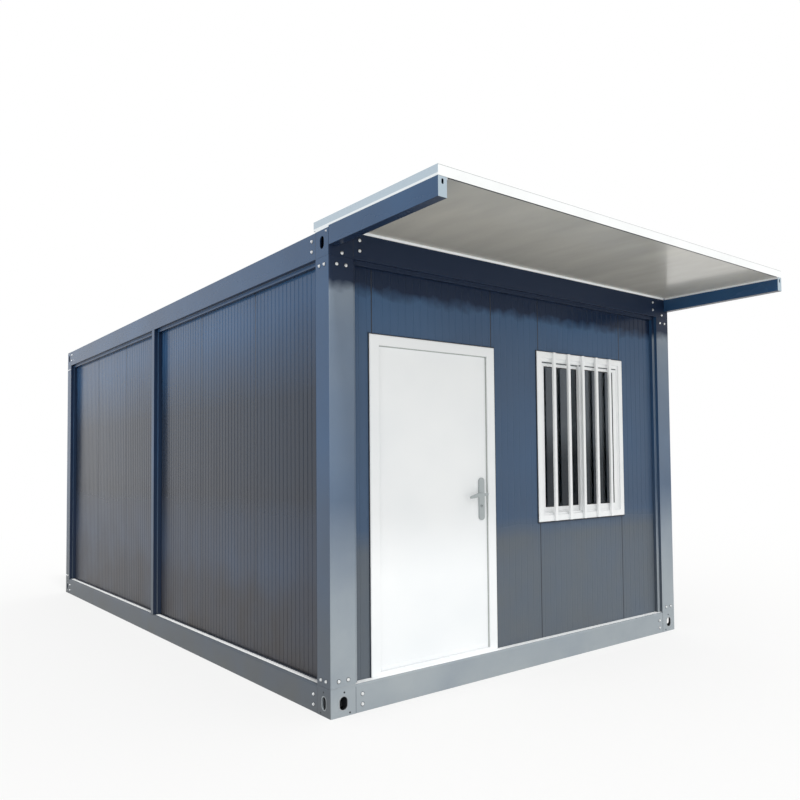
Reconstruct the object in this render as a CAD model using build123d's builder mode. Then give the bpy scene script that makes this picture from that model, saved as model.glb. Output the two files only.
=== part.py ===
"""A modular home: a bolted steel frame of stepped, roll-formed members joined at hollow corner
blocks, walled with sandwich panels on a 950 mm module, with a door, a window and a front canopy.

Millimetres, +Z up. The front, with its door, window and canopy, faces -Y; +X is to the right as
one looks at it. The origin is on the ground, under the middle of the whole, canopy included.
"""
import os

from build123d import *

os.makedirs("parts", exist_ok=True)

# Overall sizes
house_width = 3000.0
house_length = 5950.0
house_height = 2630.0
canopy_reach = 1000.0

# Wall panels: three to a bay, with fine upright grooves outside and tongue-and-groove edges
panel_thickness = 50.0
panels_per_bay = 3
panel_joint = 1.0
panel_edge_bevel = 2.5
grooves_per_panel = 18
groove_width = 9.0
groove_depth = 1.5
tongue_reach = 10.0
tongue_width = 14.0
tongue_gap = 0.5

# Frame members: the outer face, then two steps in to the panel, then the groove it stands in
member = 150.0
base_height = 155.0
steel = 3.0
step_depth = 27.0
lip_width = 24.0
wall_recess = 55.0
panel_seat = 51.0
mid_post_face = 60.0
mid_post_web = 4.0
base_edge_radius = 12.0
post_edge_radius = 5.0

# Corner blocks: hollow, with an oval hand hole in each outward face that has no canopy arm on it
block_wall = 8.0
slot_width = 46.0
slot_height = 70.0
slot_from_corner = 75.0
slot_from_end = 70.0

# Splice plates: welded to the corner blocks, they reach into the beams and posts bolted to them
splice_thickness = 6.0
splice_reach = 70.0
splice_margin = 25.0

# Floor
floor_board_thickness = 18.0
joist_depth = 100.0
joist_flange = 45.0
joist_steel = 2.5
joist_count = 10

# Roof and ceiling
roof_panel_thickness = 50.0
roof_panel_below_rim = 20.0
roof_panel_count = 6
roof_ribs_per_panel = 3
roof_rib_width = 60.0
roof_rib_height = 15.0
roof_rib_slope = 50.0
purlin_depth = 80.0
purlin_width = 40.0
purlin_steel = 2.5
ceiling_thickness = 8.0

# Door: frame, leaf and gaps
door_left = 275.0
door_frame_width = 924.0
door_frame_height = 1930.0
door_frame_face = 62.0
door_frame_lap = 20.0
door_frame_proud = 10.0
door_frame_bevel = 4.0
door_stop_thickness = 12.0
door_stop_overlap = 15.0
door_sill_height = 20.0
door_leaf_thickness = 43.0
door_side_gap = 7.0
door_stop_gap = 5.0
door_foot_gap = 6.0

# Hinges of the door, on its room side
hinge_count = 3
hinge_height = 100.0
hinge_plate = 32.0
hinge_plate_thickness = 2.5
hinge_knuckle_radius = 7.0
hinge_pin_radius = 4.0
hinge_pin_gap = 0.3
hinge_pin_sides = 12
hinge_end_distance = 230.0

# Lock: back plates with round ends, lever, cylinder and the pocket for them in the leaf
lock_from_edge = 48.0
lock_plate_width = 44.0
lock_plate_height = 268.0
lock_plate_thickness = 8.0
lock_centre_height = 1114.0
lever_above_centre = 28.0
cylinder_below_centre = 45.0
cylinder_radius = 8.5
cylinder_proud = 5.0
lock_pocket_half_width = 12.0
lever_neck_radius = 9.0
lever_neck_gap = 0.5
lever_length = 122.0
lever_standoff = 44.0
lever_thickness = 12.0
lever_tip_radius = 7.0
lever_droop = 14.0
lever_bend_from_neck = 60.0
lever_bend_rise = 2.0
lever_bend_radius = 8.5

# Window: frame, sliding sashes and panes
window_left = 1580.0
window_width = 888.0
window_height = 1167.0
window_foot = 935.0
window_frame_face = 42.0
window_frame_lap = 20.0
window_frame_proud = 12.0
window_frame_bevel = 3.0
window_track_step = 15.0
window_fin_height = 8.0
window_fin_thickness = 2.0
sash_rail = 38.0
sash_depth = 18.0
sash_setback = 2.0
sash_gap = 1.0
pane_thickness = 5.0

# Canopy: two tapered arms, the sandwich panel on them and its trim
arm_width = 50.0
arm_root_depth = 106.0
arm_tip_depth = 96.0
arm_steel = 3.0
canopy_rise = 8.0
canopy_fall = 14.0
canopy_panel_thickness = 50.0
canopy_tail = 169.0
canopy_trim = 12.0
canopy_trim_steel = 1.5
canopy_cap_steel = 1.5
canopy_cap_lip = 35.0
arm_slot_width = 11.0
arm_slot_height = 24.0
arm_slot_below_top = 24.0

# Places that follow from the sizes above
post_groove = member + lip_width - panel_seat
groove_reach = tongue_reach - panel_joint + tongue_gap
bay_length = (house_length - mid_post_web) / 2 - post_groove
panel_module = bay_length / panels_per_bay
groove_pitch = panel_module / grooves_per_panel
front_y = (canopy_reach - house_length) / 2
rear_y = front_y + house_length
left_x = -house_width / 2
right_x = house_width / 2
wall_foot = base_height - panel_seat
wall_top = house_height - post_groove
wall_inside = wall_recess + panel_thickness
mid_lip = mid_post_face / 2 + lip_width
lip_bottom = house_height - member - lip_width

# The four sides, each with the corner where its run starts, its inward direction and its length
sides = {
    "front": (Vector(left_x, front_y, 0), Vector(0, 1, 0), house_width),
    "right": (Vector(right_x, front_y, 0), Vector(-1, 0, 0), house_length),
    "rear": (Vector(right_x, rear_y, 0), Vector(0, -1, 0), house_width),
    "left": (Vector(left_x, rear_y, 0), Vector(1, 0, 0), house_length),
}
up = Vector(0, 0, 1)


def section_plane(side, along):
    """Across a side at a distance along its run: x is inwards, y is up, z runs along the side."""
    start, inward, _ = sides[side]
    run = inward.cross(up)
    return Plane(origin=start + run * along, x_dir=inward, z_dir=run)


def elevation_plane(side, inward_distance):
    """Seen from outside a side: x runs along it, y is up, z points outwards."""
    start, inward, _ = sides[side]
    run = inward.cross(up)
    return Plane(origin=start + inward * inward_distance, x_dir=run, z_dir=inward * -1)


def plan_plane(side, along, height):
    """In plan, at a distance along a side: x runs along it, y is inwards, z is up."""
    start, inward, _ = sides[side]
    run = inward.cross(up)
    return Plane(origin=start + run * along + up * height, x_dir=run, z_dir=up)


def lengthwise_plane(x):
    """Across the house at x: x points to the rear from the front face, y is up, z points right."""
    return Plane(origin=(x, front_y, 0), x_dir=(0, 1, 0), z_dir=(1, 0, 0))


def save(builder, name):
    """Label a finished piece and write it."""
    builder.part.label = name
    export_step(builder.part, f"parts/{name}.step")


def rectangle(low, high):
    """A rectangle between two opposite corners of the sketch's plane."""
    with Locations(((low[0] + high[0]) / 2, (low[1] + high[1]) / 2)):
        Rectangle(high[0] - low[0], high[1] - low[1])


def rectangle_cut(low, high):
    """Cut a rectangle between two opposite corners out of the sketch."""
    with Locations(((low[0] + high[0]) / 2, (low[1] + high[1]) / 2)):
        Rectangle(high[0] - low[0], high[1] - low[1], mode=Mode.SUBTRACT)


def outline(*points):
    """A closed face through the points."""
    Polygon(*points, align=None)


# Frame: base beams, hollow, with a rounded outer edge and a groove for the wall panels
base_section = (
    (0, 0),
    (member, 0),
    (member, base_height),
    (wall_inside, base_height),
    (wall_inside, wall_foot),
    (wall_recess, wall_foot),
    (wall_recess, base_height),
    (0, base_height),
)
for side, (_, _, run_length) in sides.items():
    with BuildPart() as base_beam:
        with BuildSketch(section_plane(side, member)) as profile:
            outline(*base_section)
            outer_edge = profile.vertices().sort_by_distance((0, base_height, 0))[0]
            fillet(outer_edge, radius=base_edge_radius)
            offset(amount=-steel, kind=Kind.INTERSECTION, mode=Mode.SUBTRACT)
        extrude(amount=run_length - 2 * member)
    save(base_beam, f"base_beam_{side}")

# Frame: top beams, the same steps hanging down to the panels, lips cut back to clear the posts
top_section = (
    (0, house_height),
    (member, house_height),
    (member, lip_bottom),
    (wall_inside, lip_bottom),
    (wall_inside, wall_top),
    (wall_recess, wall_top),
    (wall_recess, lip_bottom),
    (step_depth, lip_bottom),
    (step_depth, house_height - member),
    (0, house_height - member),
)
for side, (_, _, run_length) in sides.items():
    with BuildPart() as top_beam:
        with BuildSketch(section_plane(side, member)):
            outline(*top_section)
            offset(amount=-steel, kind=Kind.INTERSECTION, mode=Mode.SUBTRACT)
        extrude(amount=run_length - 2 * member)
        with BuildSketch(elevation_plane(side, 0)):
            for end in (member, run_length - member - lip_width):
                rectangle((end, lip_bottom), (end + lip_width, house_height - member))
        extrude(amount=-member, mode=Mode.SUBTRACT)
    save(top_beam, f"top_beam_{side}")

# Frame: corner posts, two stepped legs with a panel groove in each
lip_end = member + lip_width
post_section = (
    (0, 0),
    (member, 0),
    (member, step_depth),
    (lip_end, step_depth),
    (lip_end, wall_recess),
    (post_groove, wall_recess),
    (post_groove, wall_inside),
    (lip_end, wall_inside),
    (lip_end, member),
    (member, member),
    (member, lip_end),
    (wall_inside, lip_end),
    (wall_inside, post_groove),
    (wall_recess, post_groove),
    (wall_recess, lip_end),
    (step_depth, lip_end),
    (step_depth, member),
    (0, member),
)
corners = {
    "front_left": "front",
    "front_right": "right",
    "rear_right": "rear",
    "rear_left": "left",
}
for corner, side in corners.items():
    with BuildPart() as post:
        with BuildSketch(plan_plane(side, 0, base_height)) as profile:
            outline(*post_section)
            fillet(profile.vertices().sort_by_distance((0, 0, 0))[0], radius=post_edge_radius)
            offset(amount=-steel, kind=Kind.INTERSECTION, mode=Mode.SUBTRACT)
        extrude(amount=house_height - member - base_height)
    save(post, f"post_{corner}")

# Frame: hollow corner blocks at the foot and the head of each post
block_heights = {"base": (0, base_height), "top": (house_height - member, house_height)}
slotted_sides = {"base": ("front", "right", "rear", "left"), "top": ("right", "rear", "left")}
for level, (foot, head) in block_heights.items():
    slot_height_from_ground = foot + slot_from_end if level == "base" else head - slot_from_end
    with BuildPart() as corner_blocks:
        for side in sides:
            with BuildSketch(plan_plane(side, 0, foot)) as block:
                rectangle((0, 0), (member, member))
                fillet(block.vertices().sort_by_distance((0, 0, 0))[0], radius=post_edge_radius)
            extrude(amount=head - foot)
            with BuildSketch(plan_plane(side, 0, foot + block_wall)):
                rectangle((block_wall, block_wall), (member - block_wall, member - block_wall))
            extrude(amount=head - foot - 2 * block_wall, mode=Mode.SUBTRACT)
        for side in slotted_sides[level]:
            with BuildSketch(elevation_plane(side, 0)):
                for along in (slot_from_corner, sides[side][2] - slot_from_corner):
                    with Locations((along, slot_height_from_ground)):
                        SlotOverall(slot_height, slot_width, rotation=90)
            extrude(amount=-block_wall, mode=Mode.SUBTRACT)
    save(corner_blocks, f"{level}_corner_blocks")

# Frame: splice plates behind the outer faces, from the blocks into the ends of beams and posts
with BuildPart() as corner_splices:
    for side, (_, _, run_length) in sides.items():
        with BuildSketch(elevation_plane(side, steel)):
            for foot, head in block_heights.values():
                for start in (member, run_length - member - splice_reach):
                    rectangle(
                        (start, foot + splice_margin), (start + splice_reach, head - splice_margin)
                    )
            for foot in (base_height, house_height - member - splice_reach):
                for corner_start in (0, run_length - member):
                    rectangle(
                        (corner_start + splice_margin, foot),
                        (corner_start + member - splice_margin, foot + splice_reach),
                    )
        extrude(amount=-splice_thickness)
save(corner_splices, "corner_splices")

# Frame: mid posts of the long sides, with a groove each way
mid_section = (
    (-mid_post_face / 2, 0),
    (mid_post_face / 2, 0),
    (mid_post_face / 2, step_depth),
    (mid_lip, step_depth),
    (mid_lip, wall_recess),
    (mid_post_web / 2, wall_recess),
    (mid_post_web / 2, wall_inside),
    (mid_lip, wall_inside),
    (mid_lip, member),
    (-mid_lip, member),
    (-mid_lip, wall_inside),
    (-mid_post_web / 2, wall_inside),
    (-mid_post_web / 2, wall_recess),
    (-mid_lip, wall_recess),
    (-mid_lip, step_depth),
    (-mid_post_face / 2, step_depth),
)
for side in ("left", "right"):
    with BuildPart() as mid_post:
        with BuildSketch(plan_plane(side, house_length / 2, base_height)):
            outline(*mid_section)
        extrude(amount=lip_bottom - base_height)
        with BuildSketch(plan_plane(side, house_length / 2, base_height)):
            rectangle(
                (-mid_post_face / 2 + steel, steel),
                (mid_post_face / 2 - steel, wall_recess - steel),
            )
            rectangle((-mid_lip + steel, wall_inside + steel), (mid_lip - steel, member - steel))
        extrude(amount=lip_bottom - base_height, mode=Mode.SUBTRACT)
        with BuildSketch(plan_plane(side, house_length / 2, lip_bottom)):
            rectangle((-mid_post_face / 2, 0), (mid_post_face / 2, step_depth))
        extrude(amount=house_height - member - lip_bottom)
    save(mid_post, f"mid_post_{side}")

# Floor: channel joists between the long base beams, and the board on them
joist_top = base_height - floor_board_thickness
room_width = house_width - 2 * member
room_length = house_length - 2 * member
joist_pitch = (room_length - joist_flange) / (joist_count - 1)
with BuildPart() as floor_joists:
    for index in range(joist_count):
        joist_y = front_y + member + index * joist_pitch
        joist_plane = Plane(origin=(left_x + member, joist_y, joist_top), x_dir=(0, 1, 0), z_dir=(1, 0, 0))
        with BuildSketch(joist_plane):
            outline(
                (0, 0),
                (joist_flange, 0),
                (joist_flange, -joist_steel),
                (joist_steel, -joist_steel),
                (joist_steel, joist_steel - joist_depth),
                (joist_flange, joist_steel - joist_depth),
                (joist_flange, -joist_depth),
                (0, -joist_depth),
            )
        extrude(amount=room_width)
save(floor_joists, "floor_joists")

with BuildPart() as floor_board:
    with BuildSketch(Plane.XY.offset(joist_top)):
        rectangle((left_x + member, front_y + member), (right_x - member, rear_y - member))
    extrude(amount=floor_board_thickness)
save(floor_board, "floor_board")

# Roof: box purlins between the long top beams, the ceiling under them, panels on them
roof_panel_foot = house_height - roof_panel_below_rim - roof_panel_thickness
purlin_foot = roof_panel_foot - purlin_depth
purlin_pitch = (room_length - purlin_width) / roof_panel_count
with BuildPart() as roof_purlins:
    for index in range(roof_panel_count + 1):
        purlin_y = front_y + member + index * purlin_pitch
        purlin_plane = Plane(
            origin=(left_x + member, purlin_y, purlin_foot), x_dir=(0, 1, 0), z_dir=(1, 0, 0)
        )
        with BuildSketch(purlin_plane):
            rectangle((0, 0), (purlin_width, purlin_depth))
            offset(amount=-purlin_steel, kind=Kind.INTERSECTION, mode=Mode.SUBTRACT)
        extrude(amount=room_width)
save(roof_purlins, "roof_purlins")

roof_panel_width = room_length / roof_panel_count
roof_rib_pitch = roof_panel_width / roof_ribs_per_panel
roof_rib_foot = roof_panel_foot + roof_panel_thickness - roof_rib_height
with BuildPart() as roof_panels:
    with BuildSketch(lengthwise_plane(left_x + member)):
        for index in range(roof_panel_count):
            near = member + index * roof_panel_width
            rectangle(
                (near + panel_joint / 2, roof_panel_foot),
                (near + roof_panel_width - panel_joint / 2, roof_rib_foot),
            )
            with Locations((near + roof_panel_width / 2, roof_rib_foot)):
                with GridLocations(roof_rib_pitch, 1, roof_ribs_per_panel, 1):
                    Trapezoid(
                        roof_rib_width,
                        roof_rib_height,
                        roof_rib_slope,
                        align=(Align.CENTER, Align.MIN),
                    )
    extrude(amount=room_width)
save(roof_panels, "roof_panels")

with BuildPart() as ceiling:
    with BuildSketch(Plane.XY.offset(purlin_foot - ceiling_thickness)):
        rectangle((left_x + member, front_y + member), (right_x - member, rear_y - member))
    extrude(amount=ceiling_thickness)
save(ceiling, "ceiling")


def panel_plan(start, end):
    """One wall panel in plan: its outer face has fine grooves and bevelled edges."""
    rectangle((start, wall_recess), (end, wall_inside))
    with Locations(((start + end) / 2, wall_recess)):
        with GridLocations(groove_pitch, 1, round((end - start) / groove_pitch), 1):
            Polygon(
                (-groove_width / 2, 0),
                (0, groove_depth),
                (groove_width / 2, 0),
                align=None,
                mode=Mode.SUBTRACT,
            )
    for edge, inwards in ((start, panel_edge_bevel), (end, -panel_edge_bevel)):
        with Locations((edge, wall_recess)):
            Polygon((0, 0), (inwards, 0), (0, panel_edge_bevel), align=None, mode=Mode.SUBTRACT)


def panel_joint_plan(edge):
    """A tongue on the panel before an edge, and the groove that takes it in the panel after."""
    middle = (wall_recess + wall_inside) / 2
    tongue_start = edge - panel_joint / 2
    groove_start = edge + panel_joint / 2
    half_groove = tongue_width / 2 + tongue_gap
    rectangle_cut(
        (groove_start, middle - half_groove), (groove_start + groove_reach, middle + half_groove)
    )
    rectangle(
        (tongue_start, middle - tongue_width / 2),
        (tongue_start + tongue_reach, middle + tongue_width / 2),
    )


def wall_panels(side, edges):
    """Panels standing in the grooves of one side, between the distances in edges along its run."""
    run_length = sides[side][2]
    with BuildSketch(plan_plane(side, 0, wall_foot)) as plans:
        for start, end in zip(edges, edges[1:]):
            near = start if start == edges[0] else start + panel_joint / 2
            far = end if end == edges[-1] else end - panel_joint / 2
            panel_plan(near, far)
        for edge in edges[1:-1]:
            panel_joint_plan(edge)
    extrude(plans.sketch, amount=wall_top - wall_foot)
    with BuildSketch(elevation_plane(side, wall_inside)) as notches:
        for corner_start in (0, run_length - member):
            corner_end = corner_start + member
            rectangle((corner_start, wall_foot), (corner_end, base_height))
            rectangle((corner_start, house_height - member), (corner_end, wall_top))
    extrude(notches.sketch, amount=panel_thickness, mode=Mode.SUBTRACT)


# Long walls: two bays of whole panels each side
near_bay = [post_groove + index * panel_module for index in range(panels_per_bay + 1)]
far_bay = [edge + bay_length + mid_post_web for edge in near_bay]
bays = {
    "left_wall_rear_bay": ("left", near_bay),
    "left_wall_front_bay": ("left", far_bay),
    "right_wall_front_bay": ("right", near_bay),
    "right_wall_rear_bay": ("right", far_bay),
}
for name, (side, edges) in bays.items():
    with BuildPart() as wall_bay:
        wall_panels(side, edges)
    save(wall_bay, name)

# Rear wall: whole panels and a cut one
rear_end = house_width - post_groove
rear_edges = [post_groove, post_groove + panel_module, post_groove + 2 * panel_module, rear_end]
with BuildPart() as rear_wall:
    wall_panels("rear", rear_edges)
save(rear_wall, "rear_wall")

# Front wall: strips beside the door and window, one over the door, two above and below the window
door_right = door_left + door_frame_width
door_head = base_height + door_frame_height
door_hole = (door_left + door_frame_lap, door_right - door_frame_lap)
door_hole_head = door_head - door_frame_lap
window_right = window_left + window_width
window_head = window_foot + window_height
window_hole_low = (window_left + window_frame_lap, window_foot + window_frame_lap)
window_hole_high = (window_right - window_frame_lap, window_head - window_frame_lap)
front_strips = {
    "front_wall_left": [post_groove, door_hole[0]],
    "front_wall_middle": [door_hole[1], window_hole_low[0]],
    "front_wall_right": [window_hole_high[0], house_width - post_groove],
}
for name, edges in front_strips.items():
    with BuildPart() as front_strip:
        wall_panels("front", edges)
    save(front_strip, name)

with BuildPart() as front_wall_over_door:
    with BuildSketch(plan_plane("front", 0, door_hole_head)):
        panel_plan(door_hole[0] + panel_joint, door_hole[1] - panel_joint)
    extrude(amount=wall_top - door_hole_head)
save(front_wall_over_door, "front_wall_over_door")

with BuildPart() as window_infill:
    for foot, head in ((wall_foot, window_hole_low[1]), (window_hole_high[1], wall_top)):
        with BuildSketch(plan_plane("front", 0, foot)):
            panel_plan(window_hole_low[0] + panel_joint, window_hole_high[0] - panel_joint)
        extrude(amount=head - foot)
save(window_infill, "front_wall_window_infill")

# Door frame: a face that laps the wall, a stop behind it, and the jambs in the hole
face_plane_depth = wall_recess - door_frame_proud
stop_back = face_plane_depth + door_stop_thickness
leaf_face = stop_back + door_stop_gap
leaf_back = leaf_face + door_leaf_thickness
leaf_hole_left = door_left + door_frame_face - door_stop_overlap
leaf_hole_right = door_right - door_frame_face + door_stop_overlap
leaf_hole_head = door_head - door_frame_face + door_stop_overlap
sill_top = base_height + door_sill_height
with BuildPart() as door_frame:
    with BuildSketch(elevation_plane("front", wall_recess)):
        rectangle((door_left, base_height), (door_right, door_head))
    extrude(amount=door_frame_proud)
    front_edges = door_frame.faces().sort_by(Axis.Y)[0].edges().sort_by(Axis.Z)
    chamfer(front_edges[1:], length=door_frame_bevel)
    with BuildSketch(elevation_plane("front", wall_inside)):
        rectangle((door_hole[0], base_height), (door_hole[1], door_hole_head))
    extrude(amount=panel_thickness)
    with BuildSketch(elevation_plane("front", face_plane_depth)):
        rectangle(
            (door_left + door_frame_face, sill_top),
            (door_right - door_frame_face, door_head - door_frame_face),
        )
    extrude(amount=face_plane_depth - wall_inside, mode=Mode.SUBTRACT)
    with BuildSketch(elevation_plane("front", stop_back)):
        rectangle((leaf_hole_left, sill_top), (leaf_hole_right, leaf_hole_head))
    extrude(amount=stop_back - wall_inside, mode=Mode.SUBTRACT)
save(door_frame, "door_frame")

# Door leaf, with a pocket for the lock behind its plates
leaf_left = leaf_hole_left + door_side_gap
leaf_right = leaf_hole_right - door_side_gap
leaf_foot = sill_top + door_foot_gap
leaf_head = leaf_hole_head - door_side_gap
lock_x = door_right - door_frame_face - lock_from_edge
lever_z = lock_centre_height + lever_above_centre
cylinder_z = lock_centre_height - cylinder_below_centre
with BuildPart() as door_leaf:
    with BuildSketch(elevation_plane("front", leaf_back)):
        rectangle((leaf_left, leaf_foot), (leaf_right, leaf_head))
        rectangle_cut(
            (lock_x - lock_pocket_half_width, cylinder_z - lock_pocket_half_width),
            (lock_x + lock_pocket_half_width, lever_z + lock_pocket_half_width),
        )
    extrude(amount=door_leaf_thickness)
save(door_leaf, "door_leaf")

# Hinges: a lower knuckle with the pin on the frame, an upper knuckle on the leaf
hinge_x = (leaf_hole_left + leaf_left) / 2
hinge_inward = leaf_back + hinge_knuckle_radius + door_stop_gap / 10
hinge_span = leaf_head - leaf_foot - 2 * hinge_end_distance
hinge_feet = [
    leaf_foot + hinge_end_distance - hinge_height / 2 + index * hinge_span / (hinge_count - 1)
    for index in range(hinge_count)
]
half_hinge = hinge_height / 2
with BuildPart() as frame_hinges:
    for foot in hinge_feet:
        with BuildSketch(plan_plane("front", hinge_x, foot)):
            with Locations((0, hinge_inward)):
                Circle(hinge_knuckle_radius)
            rectangle((-hinge_plate, wall_inside), (0, wall_inside + hinge_plate_thickness))
        extrude(amount=half_hinge)
        with BuildSketch(plan_plane("front", hinge_x, foot + half_hinge)):
            with Locations((0, hinge_inward)):
                RegularPolygon(hinge_pin_radius, hinge_pin_sides)
        extrude(amount=half_hinge - steel)
save(frame_hinges, "door_hinges_on_frame")

with BuildPart() as leaf_hinges:
    for foot in hinge_feet:
        with BuildSketch(plan_plane("front", hinge_x, foot + half_hinge + hinge_pin_gap)):
            with Locations((0, hinge_inward)):
                Circle(hinge_knuckle_radius)
            rectangle((0, leaf_back), (hinge_plate, leaf_back + hinge_plate_thickness))
            with Locations((0, hinge_inward)):
                RegularPolygon(
                    hinge_pin_radius + hinge_pin_gap,
                    hinge_pin_sides,
                    major_radius=False,
                    mode=Mode.SUBTRACT,
                )
        extrude(amount=half_hinge)
save(leaf_hinges, "door_hinges_on_leaf")

# Lock plates on both faces of the leaf, each with an end of the cylinder standing proud of it
plate_faces = (leaf_face - lock_plate_thickness, leaf_back + lock_plate_thickness)
with BuildPart() as lock_plates:
    for back in (leaf_face, plate_faces[1]):
        with BuildSketch(elevation_plane("front", back)):
            with Locations((lock_x, lock_centre_height)):
                SlotOverall(lock_plate_height, lock_plate_width, rotation=90)
            with Locations((lock_x, lever_z)):
                Circle(lever_neck_radius + lever_neck_gap, mode=Mode.SUBTRACT)
        extrude(amount=lock_plate_thickness)
    for back in (plate_faces[0], plate_faces[1] + cylinder_proud):
        with BuildSketch(elevation_plane("front", back)):
            with Locations((lock_x, cylinder_z)):
                Circle(cylinder_radius)
        extrude(amount=cylinder_proud)
save(lock_plates, "door_lock_plates")

# Lever handle: on one spindle, a lever each side that tapers and droops to a round tip
lever_outline = (
    (lock_x, lever_z, lever_neck_radius),
    (lock_x - lever_bend_from_neck, lever_z + lever_bend_rise, lever_bend_radius),
    (lock_x + lever_tip_radius - lever_length, lever_z - lever_droop, lever_tip_radius),
)
with BuildPart() as lever:
    with BuildSketch(elevation_plane("front", plate_faces[1] + lever_standoff)):
        with Locations((lock_x, lever_z)):
            Circle(lever_neck_radius)
    extrude(amount=plate_faces[1] - plate_faces[0] + 2 * lever_standoff)
    for back in (plate_faces[0] - lever_standoff + lever_thickness, plate_faces[1] + lever_standoff):
        with BuildSketch(elevation_plane("front", back)):
            for x, height, radius in lever_outline:
                with Locations((x, height)):
                    Circle(radius)
            make_hull()
        extrude(amount=lever_thickness)
save(lever, "door_lever")

# Window frame: a face that laps the wall, a narrower ring in the hole, and the fins between tracks
face_low = (window_left + window_frame_face, window_foot + window_frame_face)
face_high = (window_right - window_frame_face, window_head - window_frame_face)
track_low = (face_low[0] + window_track_step, face_low[1] + window_track_step)
track_high = (face_high[0] - window_track_step, face_high[1] - window_track_step)
sash_outer_back = wall_recess + sash_setback + sash_depth
fin_back = sash_outer_back + sash_gap + window_fin_thickness
sash_inner_back = fin_back + sash_gap + sash_depth
with BuildPart() as window_frame:
    with BuildSketch(elevation_plane("front", wall_recess)):
        rectangle((window_left, window_foot), (window_right, window_head))
    extrude(amount=window_frame_proud)
    front_face = window_frame.faces().sort_by(Axis.Y)[0]
    chamfer(front_face.edges(), length=window_frame_bevel)
    with BuildSketch(elevation_plane("front", wall_recess)):
        rectangle(face_low, face_high)
    extrude(amount=window_frame_proud, mode=Mode.SUBTRACT)
    with BuildSketch(elevation_plane("front", wall_inside)):
        rectangle(window_hole_low, window_hole_high)
        rectangle_cut(track_low, track_high)
    extrude(amount=panel_thickness)
    with BuildSketch(elevation_plane("front", fin_back)):
        for foot in (track_low[1], track_high[1] - window_fin_height):
            rectangle((track_low[0], foot), (track_high[0], foot + window_fin_height))
    extrude(amount=window_fin_thickness)
save(window_frame, "window_frame")

# Sashes: the left one on the inner track, the right one on the outer track
window_middle = (window_left + window_right) / 2
sashes = {
    "left": (track_low[0], window_middle + sash_rail / 2, sash_inner_back),
    "right": (window_middle - sash_rail / 2, track_high[0], sash_outer_back),
}
for name, (start, end, back) in sashes.items():
    with BuildPart() as sash:
        with BuildSketch(elevation_plane("front", back)):
            rectangle((start, track_low[1]), (end, track_high[1]))
            rectangle_cut(
                (start + sash_rail, track_low[1] + sash_rail),
                (end - sash_rail, track_high[1] - sash_rail),
            )
        extrude(amount=sash_depth)
    save(sash, f"window_sash_{name}")

with BuildPart() as window_panes:
    for start, end, back in sashes.values():
        with BuildSketch(elevation_plane("front", back - (sash_depth - pane_thickness) / 2)):
            rectangle(
                (start + sash_rail, track_low[1] + sash_rail),
                (end - sash_rail, track_high[1] - sash_rail),
            )
        extrude(amount=pane_thickness)
save(window_panes, "window_panes")

# Canopy: side view of its underside, which falls from the house to the tip
canopy_underside = house_height + canopy_rise
canopy_slope = canopy_fall / canopy_reach


def canopy_height(inward_distance):
    """Height of the canopy panel's underside at a distance behind the front face of the house."""
    return canopy_underside + canopy_slope * inward_distance


arm_starts = {"left": left_x, "right": right_x - arm_width}
root_foot = canopy_underside - arm_root_depth
tip_head = canopy_height(-canopy_reach)
tip_foot = tip_head - arm_tip_depth
for name, start in arm_starts.items():
    with BuildPart() as arm:
        with BuildSketch(lengthwise_plane(start)):
            outline(
                (0, canopy_underside), (-canopy_reach, tip_head), (-canopy_reach, tip_foot), (0, root_foot)
            )
        extrude(amount=arm_width)
        with BuildSketch(lengthwise_plane(start + arm_steel)):
            outline(
                (-arm_steel, canopy_underside - arm_steel),
                (arm_steel - canopy_reach, tip_head - arm_steel),
                (arm_steel - canopy_reach, tip_foot + arm_steel),
                (-arm_steel, root_foot + arm_steel),
            )
        extrude(amount=arm_width - 2 * arm_steel, mode=Mode.SUBTRACT)
        tip_plane = Plane(origin=(start, front_y - canopy_reach, 0), x_dir=(1, 0, 0), z_dir=(0, -1, 0))
        with BuildSketch(tip_plane):
            with Locations((arm_width / 2, tip_head - arm_slot_below_top)):
                SlotOverall(arm_slot_height, arm_slot_width, rotation=90)
        extrude(amount=-arm_steel, mode=Mode.SUBTRACT)
    save(arm, f"canopy_arm_{name}")


def canopy_slab(front_edge, thickness):
    """Side view of a slab on the arms, from the canopy's tail to a distance before the house."""
    outline(
        (canopy_tail, canopy_height(canopy_tail)),
        (canopy_tail, canopy_height(canopy_tail) + thickness),
        (-front_edge, canopy_height(-front_edge) + thickness),
        (-front_edge, canopy_height(-front_edge)),
    )


with BuildPart() as canopy_panel:
    with BuildSketch(lengthwise_plane(left_x + canopy_cap_steel)):
        canopy_slab(canopy_reach - canopy_cap_steel, canopy_panel_thickness)
    extrude(amount=house_width - 2 * canopy_cap_steel)
save(canopy_panel, "canopy_panel")

# Canopy edge cap: folded sheet round the sides and front of the panel, with a lip on its top
with BuildPart() as canopy_edge_cap:
    with BuildSketch(lengthwise_plane(left_x)):
        canopy_slab(canopy_reach, canopy_panel_thickness + canopy_cap_steel)
    extrude(amount=house_width)
    with BuildSketch(lengthwise_plane(left_x + canopy_cap_steel)):
        canopy_slab(canopy_reach - canopy_cap_steel, canopy_panel_thickness)
    extrude(amount=house_width - 2 * canopy_cap_steel, mode=Mode.SUBTRACT)
    with BuildSketch(Plane.XY.offset(tip_head)):
        rectangle(
            (left_x + canopy_cap_lip, front_y - canopy_reach + canopy_cap_lip),
            (right_x - canopy_cap_lip, front_y + canopy_tail),
        )
    extrude(amount=member, mode=Mode.SUBTRACT)
save(canopy_edge_cap, "canopy_edge_cap")

# Canopy bearer: a wedge strip on the front top beam that carries the panel's tail
with BuildPart() as canopy_bearer:
    with BuildSketch(lengthwise_plane(left_x)):
        outline(
            (0, house_height),
            (0, canopy_height(0)),
            (member, canopy_height(member)),
            (member, house_height),
        )
    extrude(amount=house_width)
save(canopy_bearer, "canopy_bearer")

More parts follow.
